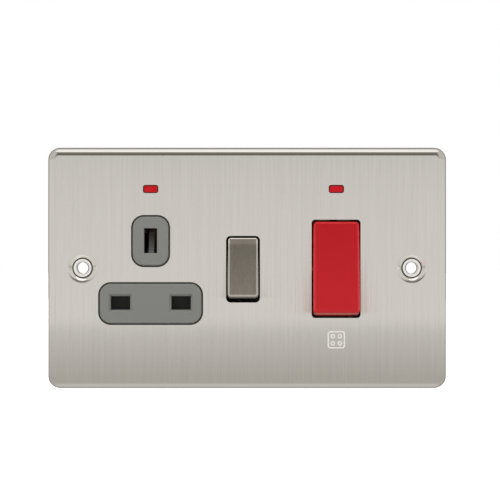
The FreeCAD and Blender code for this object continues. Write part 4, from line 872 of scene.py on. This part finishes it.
def set_surround(scene):
    """A surround that is white to the camera and, to the object, a room lit mostly from above.

    The room's level follows a direction's height, on the plate's side and behind it. To either side the dark
    gap over the front is filled, so that rounded corners and dishes don't mirror it.
    """
    world = bpy.data.worlds.new("studio_surround")
    world.use_nodes = True
    scene.world = world
    tree = world.node_tree
    tree.nodes.clear()
    across, behind, up = split_axes(tree, "Generated")
    height = up.math("ARCSINE", up) * math.degrees(1.0)
    lowest, highest = AHEAD_LEVELS[0][0], AHEAD_LEVELS[-1][0]
    ahead = eased(tree, height, lowest, lowest + AHEAD_JOIN)
    ahead = ahead * (1 - eased(tree, height, highest - AHEAD_JOIN, highest))
    front = tinted(tree, ahead, graded(tree, height, ROUND_LEVELS), graded(tree, height, AHEAD_LEVELS))
    beside = eased(tree, abs(across), *SIDE_REACH) * eased(tree, height, *SIDE_HEIGHTS)
    front = front.math("MAXIMUM", front, SIDE_LEVEL / ROOM_PEAK * beside)
    back = graded(tree, up.math("SIGN", up) * 180 - height, ROUND_LEVELS)
    aside = eased(tree, abs(across), *FAR_SIDE)
    turned = aside * eased(tree, behind, *BACK_AT_SIDE) + (1 - aside) * eased(tree, behind, *BACK_AT_MIDDLE)
    level = tinted(tree, turned, front, back)
    light = eased(tree, level, *(part / ROOM_PEAK for part in WARM_LEVELS))
    room = add_node(tree, "ShaderNodeVectorMath", {"operation": "MULTIPLY"},
                    {0: level, 1: tinted(tree, light, WARM_SHADE, WHITE)})
    lit = add_node(tree, "ShaderNodeBackground", {}, {"Color": room, "Strength": ROOM_PEAK})
    white = add_node(tree, "ShaderNodeBackground", {}, {"Color": rgba(WHITE), "Strength": 1.0})
    seen = add_node(tree, "ShaderNodeLightPath", output="Is Camera Ray")
    through = add_node(tree, "ShaderNodeLightPath", output="Is Transmission Ray")
    bare = seen.math("MAXIMUM", seen, through)
    surround = add_node(tree, "ShaderNodeMixShader", {}, {0: bare, 1: lit, 2: white})
    add_node(tree, "ShaderNodeOutputWorld", {}, {"Surface": surround})


def graded(tree, height, levels):
    """The room's level at a height, from a list of heights and levels."""
    low, high = levels[0][0], levels[-1][0]
    stops = [((place - low) / (high - low), level / ROOM_PEAK) for place, level in levels]
    return add_node(tree, "ShaderNodeValToRGB", {"stops": stops}, {"Fac": (height - low) / (high - low)})


def set_floor(scene, look):
    """A pale floor under the unit, white to the camera except in the unit's shadow."""
    material, tree = new_finish("floor_paint")
    paint = tinted(tree, noise(tree, FLOOR_CLOUD), *FLOOR_PAINTS)
    matt = add_node(tree, "ShaderNodeBsdfDiffuse", {}, {"Color": paint})
    seen = add_node(tree, "ShaderNodeLightPath", output="Is Camera Ray")
    white = add_node(tree, "ShaderNodeEmission", {},
                     {"Color": rgba(WHITE), "Strength": look.floor_white * seen})
    both = add_node(tree, "ShaderNodeAddShader", {}, {0: matt, 1: white})
    add_node(tree, "ShaderNodeOutputMaterial", {}, {"Surface": both})
    bm = bmesh.new()
    bmesh.ops.create_grid(bm, x_segments=1, y_segments=1, size=look.floor_size / 2,
                          matrix=Matrix.Translation((0.0, 0.0, CAD_BOX[0][2])))
    floor = new_piece(scene, "floor", bm)
    floor.data.materials.append(material)
    floor.visible_glossy = False


def set_lamp(scene, name, place, size, power):
    """A large soft lamp turned to the unit, which lights matt surfaces without a glint in the steel."""
    data = bpy.data.lights.new(name, "AREA")
    data.shape = "RECTANGLE"
    data.size, data.size_y = size
    data.energy = power
    lamp = bpy.data.objects.new(name, data)
    lamp.location = place
    lamp.rotation_euler = Vector(place).to_track_quat("Z", "Y").to_euler()
    lamp.visible_glossy = False
    scene.collection.objects.link(lamp)


class UNIT_PT_sidebar(bpy.types.Panel):
    """Steps of the cooker unit, in order."""
    bl_idname = "UNIT_PT_sidebar"
    bl_label = "Cooker control unit"
    bl_space_type = "VIEW_3D"
    bl_region_type = "UI"
    bl_category = "Cooker unit"

    def draw(self, context):
        for step in STEPS:
            self.layout.operator(step.bl_idname)
        for name, (label, _) in LOOKS.items():
            box = self.layout.box()
            box.label(text=label)
            group = getattr(context.scene, name)
            for prop in group.bl_rna.properties:
                if prop.identifier not in {"rna_type", "name"}:
                    box.prop(group, prop.identifier)


STEPS = (
    UNIT_OT_plate, UNIT_OT_mouldings, UNIT_OT_rockers, UNIT_OT_indicators, UNIT_OT_contacts,
    UNIT_OT_fasteners, UNIT_OT_spring, UNIT_OT_mark, UNIT_OT_stage,
)
LOOKS = {
    "unit_plate": ("Front plate", UnitPlateLook),
    "unit_nickel": ("Fixing sleeves", UnitNickelLook),
    "unit_cap": ("Socket rocker's cap", UnitCapLook),
    "unit_fastener": ("Fasteners and springs", UnitSteelLook),
    "unit_plastic": ("Plastics", UnitPlasticLook),
    "unit_brass": ("Brass", UnitBrassLook),
    "unit_spring": ("Shutter spring", UnitSpringLook),
    "unit_mark": ("Hob mark", UnitMarkLook),
    "unit_stage": ("Stage", UnitStageLook),
}
CLASSES = tuple(group for _, group in LOOKS.values()) + STEPS + (UNIT_PT_sidebar,)


def register():
    """Register the groups, operators and panel."""
    for entry in CLASSES:
        bpy.utils.register_class(entry)
    for name, (_, group) in LOOKS.items():
        setattr(bpy.types.Scene, name, bpy.props.PointerProperty(type=group))


def unregister():
    """Remove what register added."""
    for name in LOOKS:
        delattr(bpy.types.Scene, name)
    for entry in reversed(CLASSES):
        bpy.utils.unregister_class(entry)


def main():
    """Run every step in order."""
    register()
    for step in STEPS:
        group, name = step.bl_idname.split(".")
        getattr(getattr(bpy.ops, group), name)()


if __name__ == "__main__":
    main()
